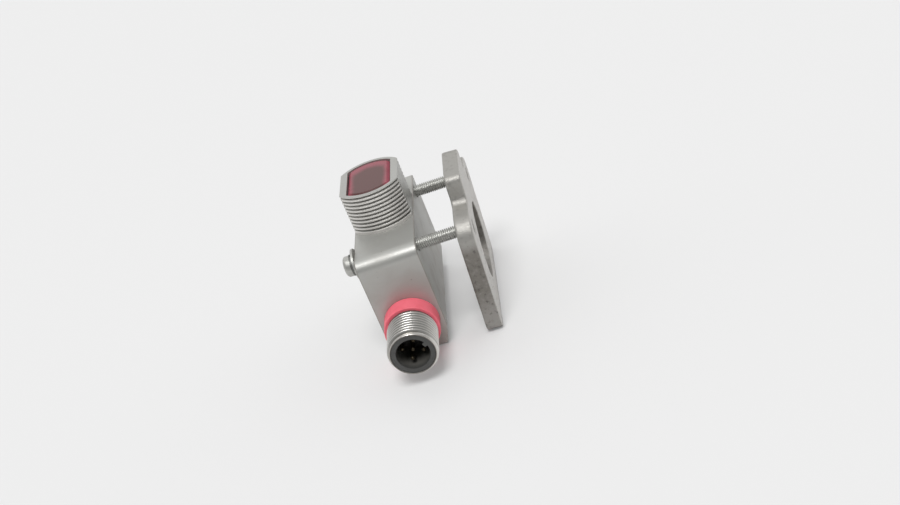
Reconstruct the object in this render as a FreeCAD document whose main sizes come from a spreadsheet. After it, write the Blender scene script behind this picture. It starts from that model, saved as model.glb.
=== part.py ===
import FreeCAD, Part
import math
import os
import Sketcher

# Laser distance sensor on a bracket plate, in millimetres.
# It stands on its back: +Z is the way the barrel and the laser beam point, -Y is the way the
# connector points, +X is the way from the screw heads to the bracket plate. The origin is on
# the back, on the barrel's axis.

doc = FreeCAD.newDocument("laser_sensor")

# Driving dimensions
SIZES = {
    # stainless block
    "body_width": 15.0,
    "body_depth": 28.0,
    "body_above": 16.4,
    "body_below": 20.6,
    "front_round": 3.0,
    "top_round": 0.5,
    "back_round": 1.0,
    "side_round": 0.2,
    "back_bevel_height": 5.7,
    "back_bevel_inset": 1.6,
    # threaded barrel with two flats
    "barrel_diameter": 18.0,
    "barrel_length": 10.7,
    "barrel_flat_width": 14.5,
    "barrel_pitch": 1.0,
    "barrel_thread_depth": 0.6,
    "thread_angle": 60,
    # red window and its seal
    "window_radius": 8.05,
    "window_width": 10.9,
    "window_thickness": 2.0,
    "window_bevel": 0.8,
    "window_seal_thickness": 0.5,
    # hollow inside the block and the barrel
    "bore_radius": 7.0,
    "bore_width": 9.0,
    "cavity_end_wall": 5.0,
    "front_wall": 6.0,
    "seat_gap": 0.1,
    # optics
    "carrier_front_gap": 0.9,
    "carrier_flange_half_length": 8.6,
    "carrier_flange_thickness": 2.0,
    "receiver_offset": 2.4,
    "receiver_lens_diameter": 6.4,
    "receiver_lens_rim": 0.8,
    "receiver_lens_crown": 1.0,
    "receiver_channel_diameter": 5.4,
    "emitter_offset": 3.4,
    "collimator_diameter": 3.6,
    "collimator_rim": 0.9,
    "collimator_crown": 0.7,
    "emitter_channel_diameter": 2.8,
    "diode_flange_diameter": 3.8,
    "diode_flange_thickness": 1.0,
    "diode_can_diameter": 2.5,
    "diode_can_height": 1.6,
    "diode_depth": 5.6,
    "diode_lead_diameter": 0.4,
    "diode_lead_length": 8.2,
    "diode_lead_spread": 0.7,
    "receiver_chip_length": 4.0,
    "receiver_chip_width": 3.0,
    "receiver_chip_height": 1.2,
    # circuit boards
    "optics_board_thickness": 1.2,
    "optics_board_half_length": 8.4,
    "main_board_thickness": 1.4,
    "main_board_offset": 3.6,
    "main_board_length": 23.0,
    "chip_height": 1.1,
    "chip_width": 5.0,
    "chip_pitch": 7.0,
    "display_board_thickness": 1.0,
    "display_board_length": 25.2,
    # back panel, display and buttons
    "panel_thickness": 1.5,
    "panel_end_margin": 3.6,
    "panel_side_wall": 2.1,
    "panel_corner": 1.2,
    "panel_seal_thickness": 0.5,
    "panel_seal_width": 0.3,
    "board_seat_depth": 6.8,
    "board_seat_margin": 4.2,
    "board_seat_side_wall": 2.5,
    "display_length": 9.0,
    "display_width": 7.6,
    "display_height": 3.3,
    "display_top_gap": 1.6,
    "lamp_diameter": 1.6,
    "lamp_height": 3.4,
    "lamp_spacing": 5.0,
    "lamp_gap": 1.6,
    "button_diameter": 4.4,
    "button_clearance": 0.3,
    "button_recess": 0.3,
    "button_flange": 0.8,
    "button_flange_thickness": 0.6,
    "button_stem_diameter": 2.0,
    "button_stem_length": 0.6,
    "button_spacing": 6.6,
    "button_first": 3.6,
    "button_play": 0.1,
    "button_travel": 0.4,
    "button_end_gap": 0.1,
    "switch_size": 4.2,
    "switch_height": 1.6,
    "plunger_diameter": 1.6,
    # connector
    "connector_back": 18.9,
    "connector_diameter": 12.0,
    "connector_length": 13.7,
    "connector_bore": 10.5,
    "connector_bore_depth": 11.2,
    "connector_neck_diameter": 9.1,
    "connector_neck_length": 3.6,
    "connector_neck_bore": 7.8,
    "connector_seal_thickness": 0.5,
    "insert_recess": 0.15,
    "insert_cup_diameter": 8.0,
    "insert_cup_depth": 8.6,
    "insert_tail": 1.4,
    "key_width": 1.1,
    "key_height": 0.7,
    "key_angle": 24.0,
    "pin_diameter": 1.0,
    "pin_circle": 5.0,
    "pin_clearance": 0.03,
    "pin_recess": 1.6,
    "pin_tail": 1.6,
    "ring_seat_diameter": 11.6,
    "ring_wall": 0.77,
    "ring_length": 4.3,
    "ring_clearance": 0.05,
    "ring_round": 0.25,
    "connector_pitch": 1.0,
    "connector_thread_depth": 0.4,
    "thread_relief": 0.2,
    "thread_lead": 0.3,
    # clamp screws and washers
    "screw_diameter": 3.0,
    "screw_pitch": 0.5,
    "screw_thread_depth": 0.25,
    "screw_back": 2.3,
    "screw_above": 11.2,
    "screw_below": 15.65,
    "screw_hole_clearance": 0.2,
    "screw_tip_inset": 0.5,
    "screw_tip_chamfer": 0.4,
    "head_diameter": 5.0,
    "head_height": 1.7,
    "head_round": 0.8,
    "recess_length": 2.8,
    "recess_width": 0.6,
    "recess_depth": 1.0,
    "spring_washer_diameter": 5.2,
    "spring_washer_thickness": 0.8,
    "spring_washer_split": 0.7,
    "flat_washer_diameter": 7.4,
    "flat_washer_thickness": 0.5,
    "washer_clearance": 0.15,
    # bracket plate
    "plate_distance": 17.2,
    "plate_thickness": 4.05,
    "plate_lean": 3.15,
    "plate_width": 39.1,
    "plate_shoulder": 4.2,
    "plate_lobe_width": 15.9,
    "plate_lobe_height": 6.7,
    "plate_shoulder_round": 5.0,
    "plate_lobe_round": 1.8,
    "plate_rear_round": 2.0,
    "plate_edge_round": 0.4,
    "plate_hole_diameter": 19.0,
    "plate_hole_back": 11.4,
}

dims = doc.addObject("Spreadsheet::Sheet", "dims")
for row, (alias, number) in enumerate(SIZES.items(), start=1):
    dims.set(f"A{row}", alias.replace("_", " "))
    dims.set(f"B{row}", str(number))
    dims.setAlias(f"B{row}", alias)
doc.recompute()


# Shared ways of drawing

def size(alias):
    return float(dims.get(alias))


def origin_feature(body, role):
    return next(feature for feature in body.Origin.OriginFeatures if feature.Role == role)


def new_body(label):
    body = doc.addObject("PartDesign::Body", label)
    body.Label = label
    return body


def new_sketch(body, name, plane, offset=None):
    sketch = body.newObject("Sketcher::SketchObject", name)
    sketch.AttachmentSupport = [(origin_feature(body, plane), "")]
    sketch.MapMode = "FlatFace"
    if offset:
        sketch.setExpression("AttachmentOffset.Base.z", offset)
    return sketch


def tie_point(sketch, geometry, end, across, up):
    """Fix one point of a sketch at two expressions measured from the sketch's origin."""
    for kind, axis, place in (("DistanceX", -2, across), ("DistanceY", -1, up)):
        if place == "0":
            sketch.addConstraint(Sketcher.Constraint("PointOnObject", geometry, end, axis))
        else:
            index = sketch.addConstraint(Sketcher.Constraint(kind, -1, 1, geometry, end, 1.0))
            sketch.setExpression(f"Constraints[{index}]", place)


def add_polygon(sketch, corners):
    """A closed run of straight lines through corners given as pairs of expressions."""
    count = len(corners)
    first = sketch.GeometryCount
    around = [2 * math.pi * step / count for step in range(count)]
    start = [FreeCAD.Vector(math.cos(turn), math.sin(turn), 0) for turn in around]
    for step in range(count):
        sketch.addGeometry(Part.LineSegment(start[step], start[(step + 1) % count]), False)
    for step in range(count):
        after = first + (step + 1) % count
        sketch.addConstraint(Sketcher.Constraint("Coincident", first + step, 2, after, 1))
    for step, (across, up) in enumerate(corners):
        tie_point(sketch, first + step, 1, across, up)


def add_rectangle(sketch, left, right, bottom, top):
    add_polygon(sketch, [(left, bottom), (right, bottom), (right, top), (left, top)])


def add_circle(sketch, across, up, diameter):
    geometry = sketch.addGeometry(Part.Circle(FreeCAD.Vector(0, 0, 0), FreeCAD.Vector(0, 0, 1), 1), False)
    tie_point(sketch, geometry, 3, across, up)
    index = sketch.addConstraint(Sketcher.Constraint("Diameter", geometry, 2.0))
    sketch.setExpression(f"Constraints[{index}]", diameter)


def add_barrel_outline(sketch, radius, width, radius_now, width_now):
    """A circle about the barrel's axis with its two sides cut straight."""
    half = width_now / 2
    rise = math.sqrt(radius_now ** 2 - half ** 2)
    turn = math.asin(half / radius_now)
    centre = Part.Circle(FreeCAD.Vector(0, 0, 0), FreeCAD.Vector(0, 0, 1), radius_now)
    upper = Part.ArcOfCircle(centre, math.pi / 2 - turn, math.pi / 2 + turn)
    lower = Part.ArcOfCircle(centre, 3 * math.pi / 2 - turn, 3 * math.pi / 2 + turn)
    left = Part.LineSegment(FreeCAD.Vector(-half, rise, 0), FreeCAD.Vector(-half, -rise, 0))
    right = Part.LineSegment(FreeCAD.Vector(half, -rise, 0), FreeCAD.Vector(half, rise, 0))
    first = sketch.GeometryCount
    sketch.addGeometry([upper, left, lower, right], False)
    for step in range(4):
        after = first + (step + 1) % 4
        sketch.addConstraint(Sketcher.Constraint("Coincident", first + step, 2, after, 1))
    for arc in (first, first + 2):
        sketch.addConstraint(Sketcher.Constraint("Coincident", arc, 3, -1, 1))
        index = sketch.addConstraint(Sketcher.Constraint("Radius", arc, radius_now))
        sketch.setExpression(f"Constraints[{index}]", radius)
    for side, sign in ((first + 1, "-"), (first + 3, "")):
        sketch.addConstraint(Sketcher.Constraint("Vertical", side))
        value = -half if sign else half
        index = sketch.addConstraint(Sketcher.Constraint("DistanceX", -1, 1, side, 1, value))
        sketch.setExpression(f"Constraints[{index}]", f"{sign}({width}) / 2")


def pad(body, name, sketch, length, both_ways=False):
    feature = body.newObject("PartDesign::Pad", name)
    feature.Profile = sketch
    feature.setExpression("Length", length)
    if both_ways:
        feature.SideType = "Symmetric"
    doc.recompute()
    return feature


def pocket(body, name, sketch, length, along_normal=False):
    """Cut a sketch into the body, against the sketch's normal unless told otherwise."""
    before = body.Shape.Volume
    feature = body.newObject("PartDesign::Pocket", name)
    feature.Profile = sketch
    feature.setExpression("Length", length)
    feature.Reversed = along_normal
    doc.recompute()
    if not body.Shape.Volume < before:
        raise RuntimeError(f"{name} cuts nothing")
    return feature


def revolve(body, name, sketch, axis):
    feature = body.newObject("PartDesign::Revolution", name)
    feature.Profile = sketch
    feature.ReferenceAxis = (sketch, [axis])
    doc.recompute()
    return feature


def ring_thread(body, name, top, radius, depth, pitch, turns):
    """Turn a V-shaped groove round the body's Z axis and repeat it downwards, as a thread's ridges."""
    flank = f"({depth} * tan(dims.thread_angle / 2))"
    outside = f"({radius} + {depth})"
    section = new_sketch(body, f"{name}_section", "XZ_Plane")
    add_polygon(section, [
        (outside, f"{top} - 2 * {flank}"),
        (outside, top),
        (radius, top),
        (f"{radius} - {depth}", f"{top} - {flank}"),
        (radius, f"{top} - 2 * {flank}"),
    ])
    before = body.Shape.Volume
    groove = body.newObject("PartDesign::Groove", f"{name}_groove")
    groove.Profile = section
    groove.ReferenceAxis = (section, ["V_Axis"])
    doc.recompute()
    if not body.Shape.Volume < before:
        raise RuntimeError(f"{name} cuts nothing")
    thread = body.newObject("PartDesign::LinearPattern", name)
    thread.Originals = [groove]
    thread.Direction = (origin_feature(body, "Z_Axis"), [""])
    thread.Reversed = True
    thread.setExpression("Length", f"({turns} - 1) * {pitch}")
    thread.setExpression("Occurrences", turns)
    body.Tip = thread
    doc.recompute()
    return thread


def edges_where(shape, test):
    return [f"Edge{number}" for number, edge in enumerate(shape.Edges, start=1) if test(edge)]


def round_edges(body, name, test, radius, kind="PartDesign::Fillet"):
    base = body.Tip
    names = edges_where(base.Shape, test)
    feature = body.newObject(kind, name)
    feature.Base = (base, names)
    feature.setExpression("Radius", radius)
    doc.recompute()
    return feature


def runs_along(edge, axis):
    if not isinstance(edge.Curve, Part.Line):
        return False
    direction = edge.Curve.Direction
    return abs(abs(direction.dot(axis)) - 1) < 1e-6


def near(value, target):
    return abs(value - target) < 1e-4


X_AXIS = FreeCAD.Vector(1, 0, 0)
Y_AXIS = FreeCAD.Vector(0, 1, 0)
Z_AXIS = FreeCAD.Vector(0, 0, 1)
UPRIGHT = FreeCAD.Rotation()
ALONG_X = FreeCAD.Rotation(Z_AXIS, X_AXIS)
ALONG_Y_DOWN = FreeCAD.Rotation(Z_AXIS, -Y_AXIS)


def place(item, across, along, up, turn=UPRIGHT):
    item.Placement = FreeCAD.Placement(FreeCAD.Vector(0, 0, 0), turn)
    for axis, where in zip("xyz", (across, along, up)):
        item.setExpression(f"Placement.Base.{axis}", where)


def box(name, corner, lengths):
    item = doc.addObject("Part::Box", name)
    for side, length in zip(("Length", "Width", "Height"), lengths):
        item.setExpression(side, length)
    place(item, *corner)
    return item


def cylinder(name, foot, diameter, height, turn=UPRIGHT):
    item = doc.addObject("Part::Cylinder", name)
    item.setExpression("Radius", f"({diameter}) / 2")
    item.setExpression("Height", height)
    place(item, *foot, turn)
    return item


def cut(name, base, tool):
    item = doc.addObject("Part::Cut", name)
    item.Base = base
    item.Tool = tool
    return item


def fuse(name, pieces):
    item = doc.addObject("Part::MultiFuse", name)
    item.Shapes = pieces
    return item


def group(label, pieces):
    item = doc.addObject("Part::Compound", label)
    item.Label = label
    item.Links = pieces
    return item


def named(item, label):
    item.Label = label
    return item


# Places that several pieces share, as expressions of the driving dimensions
HALF_WIDTH = "dims.body_width / 2"
BARREL_END = "(dims.body_depth + dims.barrel_length)"
WINDOW_SEAT = f"({BARREL_END} - dims.window_thickness - dims.window_seal_thickness)"
CAVITY_FRONT = "(dims.body_depth - dims.front_wall)"
CAVITY_LOW = "(dims.cavity_end_wall - dims.body_below)"
CAVITY_HIGH = "(dims.body_above - dims.cavity_end_wall)"
SCREW_HEIGHT = "(dims.body_depth - dims.screw_back)"
SCREW_MIDDLE = "((dims.screw_above - dims.screw_below) / 2)"
CONNECTOR_HEIGHT = "(dims.body_depth - dims.connector_back)"
PANEL_SEAT = "(dims.panel_thickness + dims.panel_seal_thickness)"
PANEL_LOW = "(dims.panel_end_margin - dims.body_below)"
PANEL_HIGH = "(dims.body_above - dims.panel_end_margin)"
PANEL_HALF = "(dims.body_width / 2 - dims.panel_side_wall)"
BOARD_HIGH = "(dims.body_above - dims.board_seat_margin)"
BOARD_LOW = "(dims.board_seat_margin - dims.body_below)"
BOARD_HALF = "(dims.body_width / 2 - dims.board_seat_side_wall)"
BOARD_FACE = "(dims.board_seat_depth - dims.display_board_thickness)"
DISPLAY_TOP = f"({BOARD_HIGH} - dims.display_top_gap)"
DISPLAY_LOW = f"({DISPLAY_TOP} - dims.display_length)"
LAMP_LINE = f"({DISPLAY_LOW} - dims.lamp_gap)"
BUTTON_PLACES = [
    ("select", f"({LAMP_LINE} - dims.button_first)"),
    ("teach", f"({LAMP_LINE} - dims.button_first - dims.button_spacing)"),
]


# Housing: a stainless block with the threaded barrel in one piece, hollow from the back

housing = new_body("housing")
profile = new_sketch(housing, "block_profile", "YZ_Plane")
add_rectangle(profile, "-dims.body_below", "dims.body_above", "0", "dims.body_depth")
pad(housing, "block", profile, "dims.body_width", both_ways=True)

front = size("body_depth")


def crosswise_edge(up, at_top):
    """Pick the edge across one end of the block at a height; the connector is at the low end."""
    def test(edge):
        middle = edge.CenterOfMass
        return runs_along(edge, X_AXIS) and near(middle.z, up) and (middle.y > 0) == at_top
    return test


for name, up, at_top, radius in (
        ("front_edge", front, False, "dims.front_round"), ("top_edge", front, True, "dims.top_round"),
        ("low_back_edge", 0, False, "dims.back_round"), ("top_back_edge", 0, True, "dims.back_round")):
    round_edges(housing, name, crosswise_edge(up, at_top), radius)
half_width = size("body_width") / 2
round_edges(
    housing, "side_edges",
    lambda edge: near(abs(edge.CenterOfMass.x), half_width), "dims.side_round")

# the long back edges are bevelled, so the back is narrower than the front
bevels = new_sketch(housing, "bevel_outline", "XZ_Plane", "dims.body_below")
for sign in ("-", ""):
    add_polygon(bevels, [
        (f"{sign}{HALF_WIDTH}", "0"),
        (f"{sign}{HALF_WIDTH}", "dims.back_bevel_height"),
        (f"{sign}({HALF_WIDTH} - dims.back_bevel_inset)", "0"),
    ])
pocket(housing, "back_bevels", bevels, "dims.body_below + dims.body_above")

barrel_circle = new_sketch(housing, "barrel_circle", "XY_Plane", "dims.body_depth")
add_circle(barrel_circle, "0", "0", "dims.barrel_diameter")
pad(housing, "barrel", barrel_circle, "dims.barrel_length")

ring_thread(
    housing, "barrel_thread", f"({BARREL_END} - dims.barrel_pitch / 4)", "(dims.barrel_diameter / 2)",
    "dims.barrel_thread_depth", "dims.barrel_pitch",
    "floor((dims.barrel_length - dims.barrel_pitch / 2) / dims.barrel_pitch)")

flats = new_sketch(housing, "flats", "XY_Plane", "dims.body_depth")
FLAT_END = "(dims.barrel_diameter)"
add_rectangle(flats, f"-{FLAT_END}", "-dims.barrel_flat_width / 2", f"-{FLAT_END}", FLAT_END)
add_rectangle(flats, "dims.barrel_flat_width / 2", FLAT_END, f"-{FLAT_END}", FLAT_END)
pocket(housing, "barrel_flats", flats, "dims.barrel_length", along_normal=True)

# stepped hollow: panel seat, board seat, main cavity, bore, window seat
panel_seat = new_sketch(housing, "panel_seat_outline", "XY_Plane")
add_rectangle(panel_seat, f"-{PANEL_HALF}", PANEL_HALF, PANEL_LOW, PANEL_HIGH)
pocket(housing, "panel_seat", panel_seat, PANEL_SEAT, along_normal=True)
round_edges(
    housing, "panel_seat_corners",
    lambda edge: runs_along(edge, Z_AXIS) and edge.CenterOfMass.z < size("panel_thickness")
    and edge.BoundBox.ZMax < size("board_seat_depth"), "dims.panel_corner")
board_seat = new_sketch(housing, "board_seat_outline", "XY_Plane")
add_rectangle(board_seat, f"-{BOARD_HALF}", BOARD_HALF, BOARD_LOW, BOARD_HIGH)
pocket(housing, "board_seat", board_seat, "dims.board_seat_depth", along_normal=True)
cavity = new_sketch(housing, "cavity_outline", "XY_Plane")
add_rectangle(cavity, "-dims.bore_width / 2", "dims.bore_width / 2", CAVITY_LOW, CAVITY_HIGH)
pocket(housing, "cavity", cavity, CAVITY_FRONT, along_normal=True)
bore = new_sketch(housing, "bore_outline", "XY_Plane")
add_barrel_outline(bore, "dims.bore_radius", "dims.bore_width", size("bore_radius"), size("bore_width"))
pocket(housing, "bore", bore, WINDOW_SEAT, along_normal=True)
window_seat = new_sketch(housing, "window_seat_outline", "XY_Plane", WINDOW_SEAT)
add_barrel_outline(
    window_seat, "dims.window_radius + dims.seat_gap", "dims.window_width + 2 * dims.seat_gap",
    size("window_radius") + size("seat_gap"), size("window_width") + 2 * size("seat_gap"))
pocket(
    housing, "window_seat", window_seat,
    "dims.window_thickness + dims.window_seal_thickness", along_normal=True)

connector_hole = new_sketch(housing, "connector_hole_outline", "XZ_Plane", "dims.body_below")
add_circle(connector_hole, "0", CONNECTOR_HEIGHT, "dims.connector_neck_diameter + 2 * dims.seat_gap")
pocket(housing, "connector_hole", connector_hole, "dims.cavity_end_wall")

screw_holes = new_sketch(housing, "screw_hole_outline", "YZ_Plane", HALF_WIDTH)
for along in ("dims.screw_above", "-dims.screw_below"):
    add_circle(screw_holes, along, SCREW_HEIGHT, "dims.screw_diameter + 2 * dims.screw_hole_clearance")
pocket(housing, "screw_holes", screw_holes, "dims.body_width")


# Front window: red plate with a bevelled border, flush with the barrel's end, on a flat seal

window = new_body("front_window")
outline = new_sketch(window, "window_outline", "XY_Plane", f"{WINDOW_SEAT} + dims.window_seal_thickness")
add_barrel_outline(
    outline, "dims.window_radius", "dims.window_width", size("window_radius"), size("window_width"))
pad(window, "window_plate", outline, "dims.window_thickness - dims.window_bevel")
bevel_foot = new_sketch(window, "bevel_foot", "XY_Plane", f"{BARREL_END} - dims.window_bevel")
add_barrel_outline(
    bevel_foot, "dims.window_radius", "dims.window_width", size("window_radius"), size("window_width"))
bevel_top = new_sketch(window, "bevel_top", "XY_Plane", BARREL_END)
add_barrel_outline(
    bevel_top, "dims.window_radius - dims.window_bevel", "dims.window_width - 2 * dims.window_bevel",
    size("window_radius") - size("window_bevel"), size("window_width") - 2 * size("window_bevel"))
bevel = window.newObject("PartDesign::AdditiveLoft", "window_bevel")
bevel.Profile = bevel_foot
bevel.Sections = [bevel_top]
bevel.Ruled = True
doc.recompute()

seal = new_body("window_seal")
outline = new_sketch(seal, "seal_outline", "XY_Plane", WINDOW_SEAT)
add_barrel_outline(
    outline, "dims.window_radius", "dims.window_width", size("window_radius"), size("window_width"))
add_barrel_outline(
    outline, "dims.bore_radius", "dims.bore_width", size("bore_radius"), size("bore_width"))
pad(seal, "seal_ring", outline, "dims.window_seal_thickness")


# Optics carrier: black moulding that fills the bore and seats its flange on the front wall

CARRIER_BACK = f"({CAVITY_FRONT} - dims.carrier_flange_thickness)"
CARRIER_FRONT = f"({WINDOW_SEAT} - dims.carrier_front_gap)"
CARRIER_HALF = "(dims.bore_width / 2 - dims.seat_gap)"
RECEIVER_SEAT = f"({CARRIER_FRONT} - dims.receiver_lens_rim - dims.receiver_lens_crown)"
COLLIMATOR_SEAT = f"({CARRIER_FRONT} - dims.collimator_rim - dims.collimator_crown)"
DIODE_SEAT = f"({CARRIER_BACK} + dims.diode_depth)"

carrier = new_body("optics_carrier")
flange = new_sketch(carrier, "flange_outline", "XY_Plane", CARRIER_BACK)
add_rectangle(
    flange, f"-{CARRIER_HALF}", CARRIER_HALF,
    "-dims.carrier_flange_half_length", "dims.carrier_flange_half_length")
pad(carrier, "flange", flange, "dims.carrier_flange_thickness")
snout = new_sketch(carrier, "snout_outline", "XY_Plane", CARRIER_BACK)
add_barrel_outline(
    snout, "dims.bore_radius - dims.seat_gap", "dims.bore_width - 2 * dims.seat_gap",
    size("bore_radius") - size("seat_gap"), size("bore_width") - 2 * size("seat_gap"))
pad(carrier, "snout", snout, f"{CARRIER_FRONT} - {CARRIER_BACK}")
carrier_cuts = [
    ("receiver_seat", RECEIVER_SEAT, "-dims.receiver_offset",
     "dims.receiver_lens_diameter + 2 * dims.seat_gap", f"{CARRIER_FRONT} - {RECEIVER_SEAT}"),
    ("receiver_channel", CARRIER_BACK, "-dims.receiver_offset",
     "dims.receiver_channel_diameter", f"{CARRIER_FRONT} - {CARRIER_BACK}"),
    ("collimator_seat", COLLIMATOR_SEAT, "dims.emitter_offset",
     "dims.collimator_diameter + 2 * dims.seat_gap", f"{CARRIER_FRONT} - {COLLIMATOR_SEAT}"),
    ("emitter_channel", CARRIER_BACK, "dims.emitter_offset",
     "dims.emitter_channel_diameter", f"{CARRIER_FRONT} - {CARRIER_BACK}"),
    ("diode_seat", CARRIER_BACK, "dims.emitter_offset",
     "dims.diode_flange_diameter + 2 * dims.seat_gap", "dims.diode_depth"),
]
for name, start, along, diameter, depth in carrier_cuts:
    circle = new_sketch(carrier, f"{name}_circle", "XY_Plane", start)
    add_circle(circle, "0", along, diameter)
    pocket(carrier, name, circle, depth, along_normal=True)


# Lenses: flat at the back, domed at the front, each dropped into its seat in the carrier

def lens(label, along, seat, diameter, rim, crown):
    ball_radius = f"((({diameter}) / 2) ^ 2 + ({crown}) ^ 2) / (2 * ({crown}))"
    ball = doc.addObject("Part::Sphere", f"{label}_dome")
    ball.setExpression("Radius", ball_radius)
    place(ball, "0", along, f"{seat} + {rim} + {crown} - {ball_radius}")
    blank = cylinder(f"{label}_blank", ("0", along, seat), diameter, f"{rim} + {crown}")
    item = doc.addObject("Part::MultiCommon", label)
    item.Shapes = [ball, blank]
    return named(item, label)


receiver_lens = lens(
    "receiver_lens", "-dims.receiver_offset", RECEIVER_SEAT, "dims.receiver_lens_diameter",
    "dims.receiver_lens_rim", "dims.receiver_lens_crown")
collimator_lens = lens(
    "collimator_lens", "dims.emitter_offset", COLLIMATOR_SEAT, "dims.collimator_diameter",
    "dims.collimator_rim", "dims.collimator_crown")


# Laser diode: metal can on a flange, pushed into the carrier from behind, with three leads

DIODE_BACK = f"({DIODE_SEAT} - dims.diode_flange_thickness)"
LEAD_FOOT = f"({DIODE_BACK} - dims.diode_lead_length)"
diode_parts = [
    cylinder("diode_flange", ("0", "dims.emitter_offset", DIODE_BACK),
             "dims.diode_flange_diameter", "dims.diode_flange_thickness"),
    cylinder("diode_can", ("0", "dims.emitter_offset", DIODE_SEAT),
             "dims.diode_can_diameter", "dims.diode_can_height"),
]
for number, turn in enumerate((90, 210, 330), start=1):
    across = f"dims.diode_lead_spread * cos({turn} deg)"
    along = f"dims.emitter_offset + dims.diode_lead_spread * sin({turn} deg)"
    diode_parts.append(cylinder(
        f"diode_lead_{number}", (across, along, LEAD_FOOT),
        "dims.diode_lead_diameter", "dims.diode_lead_length"))
laser_diode = named(fuse("laser_diode", diode_parts), "laser_diode")


# Optics board: screwed-down board behind the carrier, with the receiver chip in its channel

OPTICS_BOARD_BACK = f"({CARRIER_BACK} - dims.optics_board_thickness)"
board_blank = box(
    "optics_board_blank",
    (f"-{CARRIER_HALF}", "-dims.optics_board_half_length", OPTICS_BOARD_BACK),
    (f"2 * {CARRIER_HALF}", "2 * dims.optics_board_half_length", "dims.optics_board_thickness"))
lead_hole = cylinder(
    "lead_hole", ("0", "dims.emitter_offset", OPTICS_BOARD_BACK),
    "2 * (dims.diode_lead_spread + dims.diode_lead_diameter)", "dims.optics_board_thickness")
optics_board = named(cut("optics_board", board_blank, lead_hole), "optics_board")
receiver_chip = named(box(
    "receiver_chip",
    ("-dims.receiver_chip_width / 2",
     "-dims.receiver_offset - dims.receiver_chip_length / 2", CARRIER_BACK),
    ("dims.receiver_chip_width", "dims.receiver_chip_length", "dims.receiver_chip_height")),
    "receiver_chip")


# Main board: stands between the display board and the optics board, with three chips on it

MAIN_BOARD_LOW = f"({CAVITY_HIGH} - dims.main_board_length)"
MAIN_BOARD_FACE = "(dims.main_board_thickness - dims.main_board_offset)"
MAIN_BOARD_HEIGHT = f"({OPTICS_BOARD_BACK} - dims.board_seat_depth)"
main_board = named(box(
    "main_board",
    ("-dims.main_board_offset", f"{MAIN_BOARD_LOW} - dims.seat_gap", "dims.board_seat_depth"),
    ("dims.main_board_thickness", "dims.main_board_length", MAIN_BOARD_HEIGHT)), "main_board")
chips = []
for number in range(3):
    along = f"{MAIN_BOARD_LOW} + dims.chip_width / 2 + {number} * dims.chip_pitch"
    up = f"dims.board_seat_depth + ({MAIN_BOARD_HEIGHT} - dims.chip_width) / 2"
    chips.append(box(
        f"chip_{number + 1}", (MAIN_BOARD_FACE, along, up),
        ("dims.chip_height", "dims.chip_width", "dims.chip_width")))
board_chips = group("board_chips", chips)


# Display board: lies on the ledge of the board seat and carries display, lamps and switches

display_board = named(box(
    "display_board",
    (f"dims.seat_gap - {BOARD_HALF}",
     f"{BOARD_HIGH} - dims.seat_gap - dims.display_board_length", BOARD_FACE),
    (f"2 * ({BOARD_HALF} - dims.seat_gap)", "dims.display_board_length", "dims.display_board_thickness")),
    "display_board")
display_module = named(box(
    "display_module",
    ("-dims.display_width / 2", DISPLAY_LOW, f"{BOARD_FACE} - dims.display_height"),
    ("dims.display_width", "dims.display_length", "dims.display_height")), "display_module")
lamps = []
for number, sign in enumerate(("-", "+"), start=1):
    across = f"0 {sign} dims.lamp_spacing / 2"
    lamps.append(cylinder(
        f"lamp_{number}", (across, LAMP_LINE, f"{BOARD_FACE} - dims.lamp_height"),
        "dims.lamp_diameter", "dims.lamp_height"))
status_lamps = group("status_lamps", lamps)


# Back panel: dark clear panel, flush with the back, on a thin seal, with two button holes

BUTTON_HOLE = "(dims.button_diameter + 2 * dims.button_clearance)"
panel = new_body("back_panel")
outline = new_sketch(panel, "panel_outline", "XY_Plane")
add_rectangle(
    outline, f"-{PANEL_HALF} + dims.seat_gap", f"{PANEL_HALF} - dims.seat_gap",
    f"{PANEL_LOW} + dims.seat_gap", f"{PANEL_HIGH} - dims.seat_gap")
pad(panel, "panel_plate", outline, "dims.panel_thickness")
round_edges(panel, "panel_corners", lambda edge: runs_along(edge, Z_AXIS), "dims.panel_corner")
button_holes = new_sketch(panel, "button_hole_outline", "XY_Plane")
for name, along in BUTTON_PLACES:
    add_circle(button_holes, "0", along, BUTTON_HOLE)
pocket(panel, "button_holes", button_holes, "dims.panel_thickness", along_normal=True)

panel_seal = new_body("panel_seal")
outline = new_sketch(panel_seal, "panel_seal_outline", "XY_Plane", "dims.panel_thickness")
add_rectangle(
    outline, f"-{PANEL_HALF} + dims.seat_gap", f"{PANEL_HALF} - dims.seat_gap",
    f"{PANEL_LOW} + dims.seat_gap", f"{PANEL_HIGH} - dims.seat_gap")
pad(panel_seal, "panel_seal_plate", outline, "dims.panel_seal_thickness")
opening = new_sketch(panel_seal, "panel_seal_opening", "XY_Plane", "dims.panel_thickness")
add_rectangle(
    opening, f"-{PANEL_HALF} + dims.seat_gap + dims.panel_seal_width",
    f"{PANEL_HALF} - dims.seat_gap - dims.panel_seal_width",
    f"{PANEL_LOW} + dims.seat_gap + dims.panel_seal_width",
    f"{PANEL_HIGH} - dims.seat_gap - dims.panel_seal_width")
pocket(panel_seal, "panel_seal_hole", opening, "dims.panel_seal_thickness", along_normal=True)
seal_half = size("body_width") / 2 - size("panel_side_wall") - size("seat_gap")
opening_half = seal_half - size("panel_seal_width")
for name, from_middle, radius in (
        ("opening_corners", opening_half, "dims.panel_corner - dims.panel_seal_width"),
        ("outer_corners", seal_half, "dims.panel_corner")):
    round_edges(
        panel_seal, f"panel_seal_{name}",
        lambda edge: runs_along(edge, Z_AXIS) and near(abs(edge.CenterOfMass.x), from_middle), radius)


# Buttons: each has a face in the panel's hole, a flange held behind it and a stem

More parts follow.
